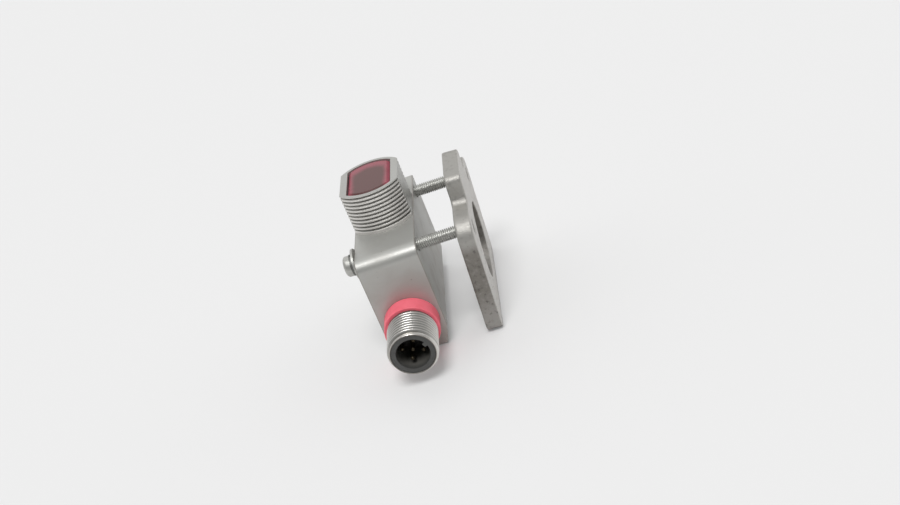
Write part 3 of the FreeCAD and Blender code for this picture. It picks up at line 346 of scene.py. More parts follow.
def red_filter():
    """Red plastic with a painted pink glow, by how near a point is to the two sides and to the far
    arc.
    """
    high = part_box("front_window")[1]
    half_width, radius = high.x, high.y
    material, tree, shader = new_material("red_filter", IOR=1.49)
    place = add(tree, "TexCoord").outputs["Object"]
    axes = add(tree, "SeparateXYZ", {"Vector": place}).outputs
    to_side = sum_of(tree, "SUBTRACT", half_width, unsigned(tree, axes["X"]))
    to_arc = sum_of(tree, "SUBTRACT", radius, from_axis(tree, axes["X"], axes["Y"]))
    cloud = add(tree, "TexNoise", {"Vector": place}, {"Scale": 1 / GLOW_CLOUD, "Detail": 1.0})
    wander = ranged(tree, cloud.outputs["Fac"], *GRAIN_RANGE, -GLOW_WANDER, GLOW_WANDER)
    from_side = sum_of(tree, "ADD", to_side, wander)
    side_glow = fading(tree, from_side, SIDE_GLOW - SIDE_FADE, SIDE_GLOW)
    far = ranged(tree, axes["Y"], 0.0, radius / 2)
    from_arc = sum_of(tree, "ADD", to_arc, wander)
    arc_glow = fading(tree, from_arc, FAR_GLOW - FAR_FADE, FAR_GLOW, FAR_SHARE)
    glow = sum_of(tree, "MAXIMUM", side_glow, sum_of(tree, "MULTIPLY", arc_glow, far))
    edge = sum_of(tree, "MINIMUM", to_side, to_arc)
    rim = fading(tree, edge, RIM_DARKEST, RIM_WIDTH)
    # Painted glow: the border is coloured pink where it gathers the light.
    colour = blended(tree, glow, WINDOW_DARK, WINDOW_GLOW)
    tree.links.new(blended(tree, rim, colour, WINDOW_RIM), shader.inputs["Base Color"])
    frosted = ranged(
        tree, edge, BEVEL_WIDTH, BEVEL_WIDTH + RIM_WIDTH, BEVEL_ROUGHNESS, WINDOW_ROUGHNESS)
    tree.links.new(frosted, shader.inputs["Roughness"])
    return material


seal_rubber = moulded(
    "seal_rubber", colour=(0.018, 0.018, 0.018, 1), worn=(0.030, 0.030, 0.030, 1),
    roughness=0.65, grain=0.12 * MM)
finish_node("window_seal", seal_rubber)
finish_node("front_window", red_filter())


# Boards: three green circuit boards with their chips, a digit display, two lamps and two switches.
# They slide in from the back and are seen only faintly, through the smoked panel.

TRACK_CELL = 6 * MM
BOARD_GREEN = (0.018, 0.150, 0.060, 1)
BOARD_PALER = (0.022, 0.180, 0.072, 1)
BOARD_TRACK = (0.060, 0.260, 0.110, 1)
DIGIT_COUNT = 3
DIGIT_DARK = (0.045, 0.045, 0.048, 1)
DIGIT_PALE = (0.52, 0.50, 0.46, 1)
POST_FROM = 0.20
POST_TO = 0.34
POST_SOFT = 0.04
POST_FOOT = 0.2 * MM
POST_END = 2.5 * MM
MIDDLE_BAR = 0.22 * MM
BAR_FROM = 2.3 * MM
BAR_TO = 2.8 * MM
BAR_SOFT = 0.1 * MM


def circuit_board():
    """A green board with paler tracks that stand up a little."""
    material, tree, shader = new_material("circuit_board", Roughness=0.4)
    place = add(tree, "TexCoord").outputs["Object"]
    tracks = add(
        tree, "TexBrick", {"Vector": place},
        {"Scale": 1 / TRACK_CELL, "Mortar Size": 0.06, "Mortar Smooth": 0.2,
         "Color1": BOARD_GREEN, "Color2": BOARD_PALER, "Mortar": BOARD_TRACK})
    tree.links.new(tracks.outputs["Color"], shader.inputs["Base Color"])
    bumped(tree, shader, tracks.outputs["Fac"], strength=0.3, distance=0.02 * MM)
    return material


def between(tree, source, low, high, soft):
    """One between two limits and nothing outside them, with soft ends."""
    risen = ranged(tree, source, low, low + soft)
    return sum_of(tree, "MULTIPLY", risen, fading(tree, source, high - soft, high))


def display_block():
    """A dark block with a row of pale digits, each of two posts and three bars."""
    material, tree, shader = new_material("display_block", Roughness=0.35)
    low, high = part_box("display_module")
    place = add(tree, "TexCoord").outputs["Object"]
    axes = add(tree, "SeparateXYZ", {"Vector": place}).outputs
    from_end = sum_of(tree, "SUBTRACT", axes["Y"], low.y)
    across = sum_of(tree, "DIVIDE", from_end, (high.y - low.y) / DIGIT_COUNT)
    digit = sum_of(tree, "FRACT", across, 0.0)
    off_middle = unsigned(tree, sum_of(tree, "SUBTRACT", digit, 0.5))
    up = unsigned(tree, axes["X"])
    posts = between(tree, off_middle, POST_FROM, POST_TO, POST_SOFT)
    posts = sum_of(tree, "MULTIPLY", posts, fading(tree, up, BAR_FROM, POST_END))
    posts = sum_of(tree, "MULTIPLY", posts, ranged(tree, up, POST_FOOT, POST_FOOT + BAR_SOFT))
    middle_bar = fading(tree, up, MIDDLE_BAR - BAR_SOFT, MIDDLE_BAR)
    outer_bars = between(tree, up, BAR_FROM, BAR_TO, BAR_SOFT)
    bars = sum_of(tree, "MAXIMUM", middle_bar, outer_bars)
    bars = sum_of(
        tree, "MULTIPLY", bars, fading(tree, off_middle, POST_FROM, POST_FROM + POST_SOFT))
    lit = sum_of(tree, "MAXIMUM", posts, bars)
    tree.links.new(blended(tree, lit, DIGIT_DARK, DIGIT_PALE), shader.inputs["Base Color"])
    return material


board = circuit_board()
lamp_amber = moulded(
    "lamp_amber", colour=(0.80, 0.38, 0.05, 1), worn=(0.62, 0.26, 0.04, 1),
    roughness=0.15, grain=0.3 * MM)
for name in ("optics_board", "main_board", "display_board"):
    finish_node(name, board)
finish_node("board_chips", chip_case)
finish_node("display_module", display_block())
finish_node("status_lamps", lamp_amber)
finish_node("tact_switches", chip_case)


# Back panel: a smoked clear panel on a thin seal, set flush into the back. Two soft grey buttons
# come through its holes, each held by a flange behind the panel, and are the parts that move.

PANEL_SMOKE = (0.10, 0.10, 0.11, 1)
PANEL_RUBBED = (0.15, 0.15, 0.16, 1)
PANEL_ROUGHNESS = (0.06, 0.16)


def smoked_panel():
    """Dark clear plastic, duller where it has been wiped."""
    material, tree, shader = new_material("smoked_panel", Transmission_Weight=0.75, IOR=1.49)
    marks = with_marks(tree, grain=0.3 * MM, patch=5 * MM, speck=1.5 * MM)
    colour = blended(tree, marks["Patches"], PANEL_SMOKE, PANEL_RUBBED)
    tree.links.new(colour, shader.inputs["Base Color"])
    rough = ranged(tree, marks["Patches"], 0, 1, *PANEL_ROUGHNESS)
    tree.links.new(rough, shader.inputs["Roughness"])
    return material


button_grey = moulded(
    "button_grey", colour=(0.20, 0.20, 0.21, 1), worn=(0.27, 0.27, 0.28, 1),
    roughness=0.5, grain=0.2 * MM)
finish_node("panel_seal", seal_rubber)
finish_node("back_panel", smoked_panel())
finish_node("select_button", button_grey)
finish_node("teach_button", button_grey)


# Connector: a threaded stainless shell screwed into the lower end on a flat seal, a black keyed
# insert, painted lighter down inside its cup, with five gilt pins coloured near black as painted
# shade deep in the cup, and a coral-red plastic ring snapped round the shell's foot.

THREAD_SIDES = 96
SHELL_PITCH = 1.0 * MM
SHELL_THREAD_DEPTH = 0.61 * MM
SHELL_CREST_SHARE = 0.125
SHELL_GROOVE_SHARE = 0.6
SHELL_LEAD = 0.9 * MM
LEAD_SHARE = 0.9
LEAD_RADIUS = 5.45 * MM
RIM_CHAMFER = 0.10 * MM
NECK_RADIUS = 4.55 * MM
NECK_BORE = 3.9 * MM
CUP_DEPTH = 11.2 * MM
CUP_CLEARANCE = 0.1 * MM
COLLAR_PAST_RING = 0.15 * MM
THREAD_PAST_RING = 0.3 * MM
RING_DIRT_AND_SHADE_FROM = 0.5 * MM
RING_DIRT_AND_SHADE_FULL = 0.2 * MM
LEAD_GAP = 0.2 * MM
RIM_REACH = 0.05 * MM
TOOTH_ROOT_SHARE = 0.25
TOOTH_EASE_DEPTH = 0.15
TOOTH_EASE_WIDTH = 0.35
SPARE_TURNS = 2
TURN_WELD = 0.0005 * MM
FACE_WELD = 0.001 * MM
CUT_REACH = 1e-5 * MM
SMOOTH_ANGLE = math.radians(32)
CUP_BLACK = (0.060, 0.060, 0.057, 1)
CUP_WORN = (0.076, 0.076, 0.073, 1)
CUP_PAINTED_LIGHT = (0.115, 0.112, 0.102, 1)
CUP_ROUGHNESS = (0.45, 0.57)
CUP_LIGHT_FROM = 0.2 * MM
CUP_LIGHT_FULL = 2 * MM


def start_piece(name):
    """Name the piece that a primitive has just started, and open it for editing with all selected."""
    piece = bpy.context.object
    piece.name = piece.data.name = name
    bpy.ops.object.mode_set(mode="EDIT")
    bpy.ops.mesh.select_mode(type="VERT")
    bpy.ops.mesh.select_all(action="SELECT")
    return piece


def select_where(piece, kind, test):
    """Select the edges or the faces of the open piece that pass a test, and nothing else."""
    bpy.ops.mesh.select_all(action="DESELECT")
    bpy.ops.mesh.select_mode(type={"edges": "EDGE", "faces": "FACE"}[kind])
    mesh = bmesh.from_edit_mesh(piece.data)
    for part in getattr(mesh, kind):
        if test(part):
            part.select_set(True)
    mesh.select_flush_mode()
    bmesh.update_edit_mesh(piece.data)


def turned(name, rings, sides):
    """Turn a piece about Z: a ring of points is extruded from one (radius, height) to the next."""
    bpy.ops.object.select_all(action="DESELECT")
    radius, height = rings[0]
    bpy.ops.mesh.primitive_circle_add(vertices=sides, radius=radius, location=(0, 0, height))
    piece = start_piece(name)
    for next_radius, next_height in rings[1:]:
        step = (0, 0, next_height - height)
        bpy.ops.mesh.extrude_region_move(TRANSFORM_OT_translate={"value": step})
        scale = next_radius / radius
        bpy.ops.transform.resize(value=(scale, scale, 1), center_override=(0, 0, next_height))
        radius, height = next_radius, next_height
    bpy.ops.object.mode_set(mode="OBJECT")
    bpy.ops.object.transform_apply(location=True, rotation=True, scale=True)
    return piece


def threaded(name, crest, depth, pitch, crest_share, foot, tip, sides):
    """Cut a thread about Z: a tooth's outline, its crest eased, is wound up the axis and trimmed."""
    bpy.ops.object.select_all(action="DESELECT")
    bpy.ops.mesh.primitive_plane_add(size=pitch, location=(crest - depth, 0, foot - pitch))
    piece = start_piece(name)
    bpy.ops.mesh.merge(type="CENTER")
    flank = pitch * (1 - crest_share - TOOTH_ROOT_SHARE) / 2
    ease_depth, ease_width = depth * TOOTH_EASE_DEPTH, flank * TOOTH_EASE_WIDTH
    outline = (
        (depth - ease_depth, 0, flank - ease_width), (ease_depth, 0, ease_width),
        (0, 0, pitch * crest_share),
        (-ease_depth, 0, ease_width), (ease_depth - depth, 0, flank - ease_width),
        (0, 0, pitch * TOOTH_ROOT_SHARE))
    for step in outline:
        bpy.ops.mesh.extrude_vertices_move(TRANSFORM_OT_translate={"value": step})
    bpy.ops.object.mode_set(mode="OBJECT")
    bpy.ops.object.transform_apply(location=True, rotation=True, scale=True)
    winding = piece.modifiers.new("winding", "SCREW")
    winding.axis = "Z"
    winding.screw_offset = pitch
    winding.iterations = math.ceil((tip - foot) / pitch) + SPARE_TURNS
    winding.steps = winding.render_steps = sides
    bpy.ops.object.modifier_apply(modifier=winding.name)
    bpy.ops.object.mode_set(mode="EDIT")
    bpy.ops.mesh.select_all(action="SELECT")
    bpy.ops.mesh.remove_doubles(threshold=TURN_WELD)
    bpy.ops.mesh.bisect(
        plane_co=(0, 0, foot), plane_no=(0, 0, 1), clear_inner=True, threshold=CUT_REACH)
    bpy.ops.mesh.select_all(action="SELECT")
    bpy.ops.mesh.bisect(
        plane_co=(0, 0, tip), plane_no=(0, 0, 1), clear_outer=True, threshold=CUT_REACH)
    bpy.ops.object.mode_set(mode="OBJECT")
    return piece


def joined(first, second):
    """Make two pieces one."""
    bpy.ops.object.select_all(action="DESELECT")
    first.select_set(True)
    second.select_set(True)
    bpy.context.view_layer.objects.active = first
    bpy.ops.object.join()
    return first


def bridge_rims(piece, low, high):
    """Close the gap between the two open rims that lie between two heights on the Z axis."""
    bpy.ops.object.mode_set(mode="EDIT")
    select_where(
        piece, "edges",
        lambda edge: edge.is_boundary and all(low < v.co.z < high for v in edge.verts))
    bpy.ops.mesh.bridge_edge_loops()
    bpy.ops.object.mode_set(mode="OBJECT")


def close_up(piece):
    """Merge what lies together, turn all faces outwards and smooth the round stretches."""
    bpy.ops.object.select_all(action="DESELECT")
    piece.select_set(True)
    bpy.context.view_layer.objects.active = piece
    bpy.ops.object.mode_set(mode="EDIT")
    bpy.ops.mesh.select_all(action="SELECT")
    bpy.ops.mesh.remove_doubles(threshold=FACE_WELD)
    bpy.ops.mesh.normals_make_consistent(inside=False)
    bpy.ops.object.mode_set(mode="OBJECT")
    bpy.ops.object.shade_smooth_by_angle(angle=SMOOTH_ANGLE)


def put_in_place(piece, turn, place):
    """Turn and move a finished piece to its place, and keep that place in its mesh."""
    piece.matrix_world = Matrix.Translation(place) @ turn
    bpy.ops.object.select_all(action="DESELECT")
    piece.select_set(True)
    bpy.context.view_layer.objects.active = piece
    bpy.ops.object.transform_apply(location=True, rotation=True, scale=True)


def shell_shade_and_wear(tree, axes):
    """The shell's thread, darker in its grooves (dirt and painted shade) and lighter on its crests
    (worn bright and a painted highlight); its foot darkened at the ring (dirt and painted shade),
    its lead made lighter and its end face darkened.
    """
    low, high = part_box("connector_shell")
    thread_end = low.y + SHELL_LEAD
    ring_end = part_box("colour_ring")[0].y
    root, half_way = high.x - SHELL_THREAD_DEPTH, high.x - SHELL_THREAD_DEPTH / 2
    above = sum_of(tree, "SUBTRACT", axes["Z"], (low.z + high.z) / 2)
    reach = from_axis(tree, axes["X"], above)
    where = ranged(tree, axes["Y"], thread_end - FACE_MARGIN, thread_end + FACE_MARGIN)
    # Darker in the grooves: partly dirt, partly painted shade.
    groove = fading(tree, reach, root, half_way, SHELL_GROOVE_SHARE)
    # Lighter on the crests: partly worn bright, partly a painted highlight.
    crest = ranged(tree, reach, high.x - SHELL_THREAD_DEPTH / 3, high.x)
    groove = sum_of(tree, "MULTIPLY", groove, where)
    # Darker at the foot, in the join with the ring: partly dirt, partly painted shade.
    foot = ranged(tree, axes["Y"], ring_end - RING_DIRT_AND_SHADE_FROM, ring_end - RING_DIRT_AND_SHADE_FULL)
    end_face = fading(tree, axes["Y"], low.y + FACE_MARGIN / 2, low.y + FACE_MARGIN)
    lead = fading(tree, where, 0, 1, LEAD_SHARE)
    darkened = sum_of(tree, "MAXIMUM", end_face, foot)
    lightened = sum_of(tree, "SUBTRACT", sum_of(tree, "MAXIMUM", crest, lead), darkened)
    return sum_of(tree, "MAXIMUM", groove, darkened), sum_of(tree, "MAXIMUM", lightened, 0.0)


def connector_shell():
    """The shell, turned about Z from its collar to its tip and then laid along -Y."""
    low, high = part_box("connector_shell")
    seal_low, seal_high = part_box("connector_seal")
    collar, crest = seal_high.x, high.x
    tip, neck_end = -low.y, -high.y
    ring_end, seat = -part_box("colour_ring")[0].y, -seal_low.y
    bore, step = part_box("connector_insert")[1].x + CUP_CLEARANCE, tip - CUP_DEPTH
    thread_foot, thread_tip = ring_end + THREAD_PAST_RING, tip - SHELL_LEAD
    shell = turned("connector_shell_threaded", [
        (collar, ring_end + COLLAR_PAST_RING), (collar, seat),
        (NECK_RADIUS, seat), (NECK_RADIUS, neck_end),
        (NECK_BORE, neck_end), (NECK_BORE, step), (bore, step), (bore, tip),
        (LEAD_RADIUS - RIM_CHAMFER, tip), (LEAD_RADIUS, tip - RIM_CHAMFER),
        (LEAD_RADIUS, thread_tip + LEAD_GAP)], THREAD_SIDES)
    thread = threaded(
        "shell_thread", crest, SHELL_THREAD_DEPTH, SHELL_PITCH, SHELL_CREST_SHARE,
        thread_foot, thread_tip, THREAD_SIDES)
    joined(shell, thread)
    bridge_rims(shell, ring_end, thread_foot + RIM_REACH)
    bridge_rims(shell, thread_tip - RIM_REACH, thread_tip + LEAD_GAP + RIM_REACH)
    close_up(shell)
    put_in_place(shell, Matrix.Rotation(math.radians(90), 4, "X"), (0, 0, (low.z + high.z) / 2))
    shell.data.materials.append(
        satin_steel("shell_stainless", shell_shade_and_wear, metal=0.7, roughness=0.30))
    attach(shell, "body")
    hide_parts("connector_shell")


def keyed_cup():
    """Black plastic, painted lighter down inside the cup to stand in for light there."""
    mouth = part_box("connector_insert")[0].y
    material, tree, shader = new_material("connector_black")
    marks = with_marks(tree, grain=0.2 * MM, patch=4 * MM, speck=1.2 * MM)
    place = add(tree, "TexCoord").outputs["Object"]
    depth = add(tree, "SeparateXYZ", {"Vector": place}).outputs["Y"]
    # Painted light: lighter grey deeper in the cup, where it is otherwise dark with shade.
    inside = ranged(tree, depth, mouth + CUP_LIGHT_FROM, mouth + CUP_LIGHT_FULL)
    colour = blended(tree, marks["Patches"], CUP_BLACK, CUP_WORN)
    tree.links.new(blended(tree, inside, colour, CUP_PAINTED_LIGHT), shader.inputs["Base Color"])
    rough = ranged(tree, marks["Patches"], 0, 1, *CUP_ROUGHNESS)
    tree.links.new(rough, shader.inputs["Roughness"])
    bumped(tree, shader, marks["Grain"], strength=0.3, distance=0.01 * MM)
    return material


connector_shell()
# The pins' gilt is coloured near black: painted shade for where they sit deep in the cup.
gold_contact = polished(
    "gold_contact", colour=(0.08, 0.066, 0.043, 1), tarnished=(0.055, 0.046, 0.032, 1),
    roughness=0.45)
coral_plastic = moulded(
    "coral_plastic", colour=(0.96, 0.180, 0.235, 1), worn=(0.91, 0.155, 0.205, 1),
    roughness=0.5, grain=0.25 * MM)
finish_node("connector_seal", seal_rubber)
finish_node("connector_insert", keyed_cup())
finish_node("contact_pins", gold_contact)
finish_node("colour_ring", coral_plastic)


# Clamp screws: two long bright steel screws with pan heads and cross recesses, each on a dark
# split washer and a plain one. They run through the block and carry the bracket plate.

SCREW_SIDES = 32
SCREW_PITCH = 0.5 * MM
SCREW_THREAD_DEPTH = 0.30 * MM
SCREW_CREST_SHARE = 0.25
SCREW_RADIUS = 1.5 * MM
SCREW_FOOT = 0.4 * MM
SCREW_LEAD = 0.4 * MM
SCREW_GAP = 0.1 * MM
NECK_STEP = 0.1 * MM
HEAD_RADIUS = 2.5 * MM
HEAD_HEIGHT = 1.7 * MM
HEAD_ROUND = 0.8 * MM
CROWN_STEPS = 6
RECESS_SPAN = 2.8 * MM
RECESS_WIDTH = 0.62 * MM
RECESS_DEPTH = 1.0 * MM
RECESS_TAPER = 0.72
UPPER_TURN = 0.35
LOWER_TURN = 1.1


def cross_recess(turn):
    """The cutter of a head's cross recess: two crossed bars, narrower at their inner ends."""
    bars = []
    for quarter in range(2):
        bpy.ops.object.select_all(action="DESELECT")
        bpy.ops.mesh.primitive_cube_add(size=1, location=(0, 0, -HEAD_HEIGHT))
        bar = start_piece(f"recess_bar_{quarter}")
        size = (RECESS_SPAN, RECESS_WIDTH, 2 * RECESS_DEPTH)
        bpy.ops.transform.resize(value=size, center_override=(0, 0, -HEAD_HEIGHT))
        select_where(bar, "faces", lambda face: face.normal.z > 0.5)
        bpy.ops.transform.resize(
            value=(RECESS_TAPER, RECESS_TAPER, 1), center_override=(0, 0, 0))
        bpy.ops.object.mode_set(mode="OBJECT")
        bpy.ops.object.transform_apply(location=True, rotation=True, scale=True)
        put_in_place(bar, Matrix.Rotation(turn + quarter * math.pi / 2, 4, "Z"), (0, 0, 0))
        bars.append(bar)
    return bars


def cap_end():
    """Close the last ring of a piece that has just been turned with one face."""
    bpy.ops.object.mode_set(mode="EDIT")
    bpy.ops.mesh.edge_face_add()
    bpy.ops.object.mode_set(mode="OBJECT")


def clamp_screw(name, turn, length):
    """A screw about Z: its head's seat is at zero, its shank goes up and its head down."""
    crown = []
    for step in range(CROWN_STEPS + 1):
        angle = step / CROWN_STEPS * math.pi / 2
        radius = HEAD_RADIUS - HEAD_ROUND * (1 - math.cos(angle))
        crown.append((radius, HEAD_ROUND * (1 - math.sin(angle)) - HEAD_HEIGHT))
    neck, thread_tip = SCREW_RADIUS - NECK_STEP, length - SCREW_LEAD
    head = turned(
        name, [(neck, SCREW_FOOT - SCREW_GAP), (neck, 0), (HEAD_RADIUS, 0), *crown], SCREW_SIDES)
    cap_end()
    tip = turned("screw_tip", [
        (SCREW_RADIUS - SCREW_THREAD_DEPTH, thread_tip + SCREW_GAP),
        (SCREW_RADIUS - SCREW_LEAD, length)], SCREW_SIDES)
    cap_end()
    thread = threaded(
        "screw_thread", SCREW_RADIUS, SCREW_THREAD_DEPTH, SCREW_PITCH, SCREW_CREST_SHARE,
        SCREW_FOOT, thread_tip, SCREW_SIDES)
    screw = joined(joined(head, tip), thread)
    bridge_rims(screw, SCREW_FOOT - 2 * SCREW_GAP, SCREW_FOOT + RIM_REACH)
    bridge_rims(screw, thread_tip - RIM_REACH, thread_tip + 2 * SCREW_GAP)
    close_up(screw)
    for bar in cross_recess(turn):
        cut = screw.modifiers.new("recess", "BOOLEAN")
        cut.operation = "DIFFERENCE"
        cut.solver = "EXACT"
        cut.object = bar
        bpy.context.view_layer.objects.active = screw
        bpy.ops.object.modifier_apply(modifier=cut.name)
        bpy.data.objects.remove(bar)
    return screw


bright_steel = polished(
    "bright_steel", colour=(0.52, 0.52, 0.495, 1), tarnished=(0.42, 0.42, 0.395, 1),
    roughness=0.42, metal=0.70)
spring_steel = polished(
    "spring_steel", colour=(0.20, 0.20, 0.19, 1), tarnished=(0.13, 0.13, 0.12, 1),
    roughness=0.45, metal=0.75)
screws_low, screws_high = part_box("clamp_screws")
washers_low, washers_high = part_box("flat_washers")
washer_radius = (washers_high.z - washers_low.z) / 2
screw_height = (washers_high.z + washers_low.z) / 2
head_seat = screws_low.x + HEAD_HEIGHT
screw_length = screws_high.x - head_seat
for name, along, turn in (
        ("upper_screw", washers_high.y - washer_radius, UPPER_TURN),
        ("lower_screw", washers_low.y + washer_radius, LOWER_TURN)):
    screw = clamp_screw(name, turn, screw_length)
    put_in_place(
        screw, Matrix.Rotation(math.radians(90), 4, "Y"), (head_seat, along, screw_height))
    screw.data.materials.clear()
    screw.data.materials.append(bright_steel)
    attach(screw, "body")
    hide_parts("clamp_screws")
finish_node("flat_washers", bright_steel)
finish_node("spring_washers", spring_steel)


# Bracket plate: a thick grey casting with a large round hole and a lobe, slid over the ends of
# the screws. Its skin is a gritty, pitted brown-grey, paler towards the foot, with painted shade
# where it stands; the upper part is lighter, and the outer face is painted lighter for the bright
# reflection it shows.

PLATE_GRAIN = 0.28 * MM
PLATE_LUMP = 0.08 * MM
PLATE_PIT = 0.02 * MM
LUMP_SIZE = 4 * MM
PIT_SIZE = 0.9 * MM
GRIT_SIZE = 1.2 * MM
EASE_FACTOR = 0.5
EASE_ROUNDS = 2
PLATE_GROUND = (0.42, 0.41, 0.385, 1)
PLATE_SKIN = (0.235, 0.220, 0.198, 1)
PLATE_FOOT = (0.36, 0.345, 0.325, 1)
PLATE_OUTER_REFLECTION = (0.56, 0.545, 0.52, 1)
PLATE_DARK = (0.075, 0.068, 0.060, 1)
PLATE_ROUGHNESS = (0.48, 0.58)
GROUND_FROM = 23.5 * MM
GROUND_SOFT = 2 * MM
FOOT_FROM = 8 * MM
FOOT_SOFT = 5 * MM
FOOT_SHADE_HEIGHT = 1.2 * MM
FOOT_SHADE_SHARE = 0.8
OUTER_FROM = 0.3 * MM
OUTER_FULL = 0.1 * MM
CRUMB_RANGE = (0.52, 0.74)
CRUMB_SHARE = 0.4
PIT_RANGE = (0.26, 0.48)
PIT_SHARE = 0.7
PIT_SHARE_GROUND = 0.25
PLATE_LEAN = math.radians(3.15)


def cast_metal():
    """Cast metal with crumbs and pits, coloured by height, with painted shade along the foot and a
    painted reflection that lightens the outer face.
    """
    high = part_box("bracket_plate")[1]
    material, tree, shader = new_material("cast_metal", Metallic=0.7)
    marks = with_marks(tree, grain=0.35 * MM, patch=3.5 * MM, speck=0.9 * MM)
    place = add(tree, "TexCoord").outputs["Object"]
    height = add(tree, "SeparateXYZ", {"Vector": place}).outputs["Z"]
    outwards = (math.cos(PLATE_LEAN), 0, -math.sin(PLATE_LEAN))
    across = add(
        tree, "VectorMath", {0: place}, {1: outwards}, operation="DOT_PRODUCT").outputs["Value"]
    far_face = high.x * math.cos(PLATE_LEAN) - high.z * math.sin(PLATE_LEAN)
    outer = ranged(tree, across, far_face - OUTER_FROM, far_face - OUTER_FULL)
    ground = ranged(tree, height, GROUND_FROM - GROUND_SOFT, GROUND_FROM + GROUND_SOFT)
    above_foot = ranged(tree, height, FOOT_FROM - FOOT_SOFT, FOOT_FROM + FOOT_SOFT)
    colour = blended(tree, above_foot, PLATE_FOOT, PLATE_SKIN)
    colour = blended(tree, ground, colour, PLATE_GROUND)
    # Painted reflection: the outer face is lighter for the bright surroundings it reflects.
    colour = blended(tree, outer, colour, PLATE_OUTER_REFLECTION)
    grit = add(
        tree, "TexNoise", {"Vector": place},
        {"Scale": 1 / GRIT_SIZE, "Detail": 4.0, "Roughness": 0.6}).outputs["Fac"]
    crumbs = sum_of(tree, "MULTIPLY", ranged(tree, grit, *CRUMB_RANGE), CRUMB_SHARE)
    colour = blended(tree, crumbs, colour, PLATE_GROUND)
    pits = fading(tree, grit, *PIT_RANGE)
    pits = sum_of(
        tree, "MULTIPLY", pits, ranged(tree, ground, 0, 1, PIT_SHARE, PIT_SHARE_GROUND))
    # Painted shade: darker along the bottom, where the plate stands on the floor.
    foot_shade = fading(tree, height, FOOT_SHADE_HEIGHT / 2, FOOT_SHADE_HEIGHT, FOOT_SHADE_SHARE)
    colour = blended(tree, sum_of(tree, "MAXIMUM", pits, foot_shade), colour, PLATE_DARK)
    tree.links.new(colour, shader.inputs["Base Color"])
    rough = ranged(tree, marks["Grain"], *GRAIN_RANGE, *PLATE_ROUGHNESS)
    tree.links.new(rough, shader.inputs["Roughness"])
    relief = sum_of(tree, "ADD", sum_of(tree, "ADD", marks["Grain"], grit), marks["Patches"])
    bumped(tree, shader, relief, strength=0.6, distance=0.07 * MM)
    return material


def cast_plate():
    """The frame's plate with a finer mesh, eased edges and a lumpy, pitted skin."""
    plate = bpy.data.objects.new("cast_plate", nodes["bracket_plate"].data.copy())
    plate.data.name = "cast_plate"
    bpy.context.scene.collection.objects.link(plate)
    close_up(plate)
    skin = plate.modifiers.new("skin", "REMESH")
    skin.mode = "VOXEL"
    skin.voxel_size = PLATE_GRAIN
    ease = plate.modifiers.new("ease", "SMOOTH")
    ease.factor = EASE_FACTOR
    ease.iterations = EASE_ROUNDS
    for name, size, depth in (("lumps", LUMP_SIZE, PLATE_LUMP), ("pits", PIT_SIZE, PLATE_PIT)):
        cloud = bpy.data.textures.new(name, "CLOUDS")
        cloud.noise_scale = size
        cloud.noise_depth = 2
        rough = plate.modifiers.new(name, "DISPLACE")
        rough.texture = cloud
        rough.texture_coords = "LOCAL"
        rough.strength = depth
        rough.mid_level = 1.0
    for name in [modifier.name for modifier in plate.modifiers]:
        bpy.ops.object.modifier_apply(modifier=name)
    bpy.ops.object.shade_smooth()
    plate.data.materials.clear()
    plate.data.materials.append(cast_metal())
    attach(plate, "body")
    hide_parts("bracket_plate")


cast_plate()


# Studio: a pale matt floor that is clear from below, a room that is darker in front than behind,
# one lamp high in front, and the camera where the photograph was taken from, with its tilt.

FLOOR_SIZE = 6
FLOOR_DROP = 0.02 * MM
FLOOR_GREY = (0.80, 0.80, 0.80, 1)
FLOOR_LIFT = 0.2
SKY_FAR = (0.80, 0.80, 0.80, 1)
SKY_NEAR = (0.12, 0.12, 0.12, 1)
SKY_RANGE = (-0.8, 0.3)
LAMP_STRENGTH = 1.82
LAMP_SPREAD = math.radians(26)
LAMP_FROM = Vector((0.02, -0.40, 0.916))
CAMERA_PLACE = Vector((51.488, -263.504, 159.810)) * MM
CAMERA_TURN = [math.radians(angle) for angle in (59.118, 19.228, -2.491)]
CAMERA_LENS = 49.128
SENSOR_WIDTH = 36
CAMERA_NEAR = 0.01

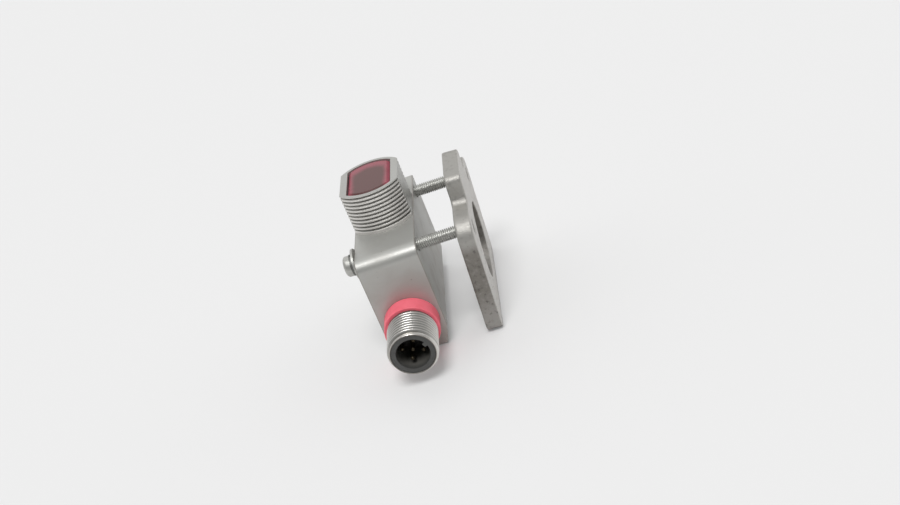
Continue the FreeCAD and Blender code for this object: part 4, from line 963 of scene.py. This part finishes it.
bpy.ops.object.select_all(action="DESELECT")
bpy.ops.mesh.primitive_plane_add(size=FLOOR_SIZE, location=(0, 0, -FLOOR_DROP))
floor = bpy.context.object
floor.name = "floor"
matt, tree, shader = new_material(
    "pale_floor", Base_Color=FLOOR_GREY, Roughness=0.8, Specular_IOR_Level=0.1)
seen_by = add(tree, "LightPath").outputs
seen = sum_of(tree, "MAXIMUM", seen_by["Is Camera Ray"], seen_by["Is Glossy Ray"])
seen = sum_of(tree, "MAXIMUM", seen, seen_by["Is Transmission Ray"])
lift = add(tree, "MixShader", {"Fac": sum_of(tree, "MULTIPLY", seen, FLOOR_LIFT)})
tree.links.new(shader.outputs["BSDF"], lift.inputs[1])
glow = add(tree, "Emission", values={"Color": FLOOR_GREY})
tree.links.new(glow.outputs["Emission"], lift.inputs[2])
clear = add(tree, "BsdfTransparent")
one_sided = add(tree, "MixShader", {"Fac": add(tree, "NewGeometry").outputs["Backfacing"]})
tree.links.new(lift.outputs["Shader"], one_sided.inputs[1])
tree.links.new(clear.outputs["BSDF"], one_sided.inputs[2])
tree.links.new(one_sided.outputs["Shader"], tree.nodes["Material Output"].inputs["Surface"])
floor.data.materials.append(matt)

world = bpy.data.worlds.new("pale_room")
world.use_nodes = True
room = world.node_tree
way = add(room, "TexCoord").outputs["Generated"]
facing = add(room, "SeparateXYZ", {"Vector": way}).outputs["Y"]
sky = blended(room, ranged(room, facing, *SKY_RANGE), SKY_NEAR, SKY_FAR)
room.links.new(sky, room.nodes["Background"].inputs["Color"])
bpy.context.scene.world = world

bpy.ops.object.light_add(type="SUN", location=LAMP_FROM)
lamp = bpy.context.object
lamp.data.energy = LAMP_STRENGTH
lamp.data.angle = LAMP_SPREAD
lamp.rotation_euler = LAMP_FROM.to_track_quat("Z", "Y").to_euler()

bpy.ops.object.camera_add(location=CAMERA_PLACE, rotation=CAMERA_TURN)
camera = bpy.context.object
camera.data.sensor_fit = "HORIZONTAL"
camera.data.sensor_width = SENSOR_WIDTH
camera.data.lens = CAMERA_LENS
camera.data.clip_start = CAMERA_NEAR
bpy.context.scene.camera = camera
bpy.context.scene.view_settings.view_transform = "Standard"
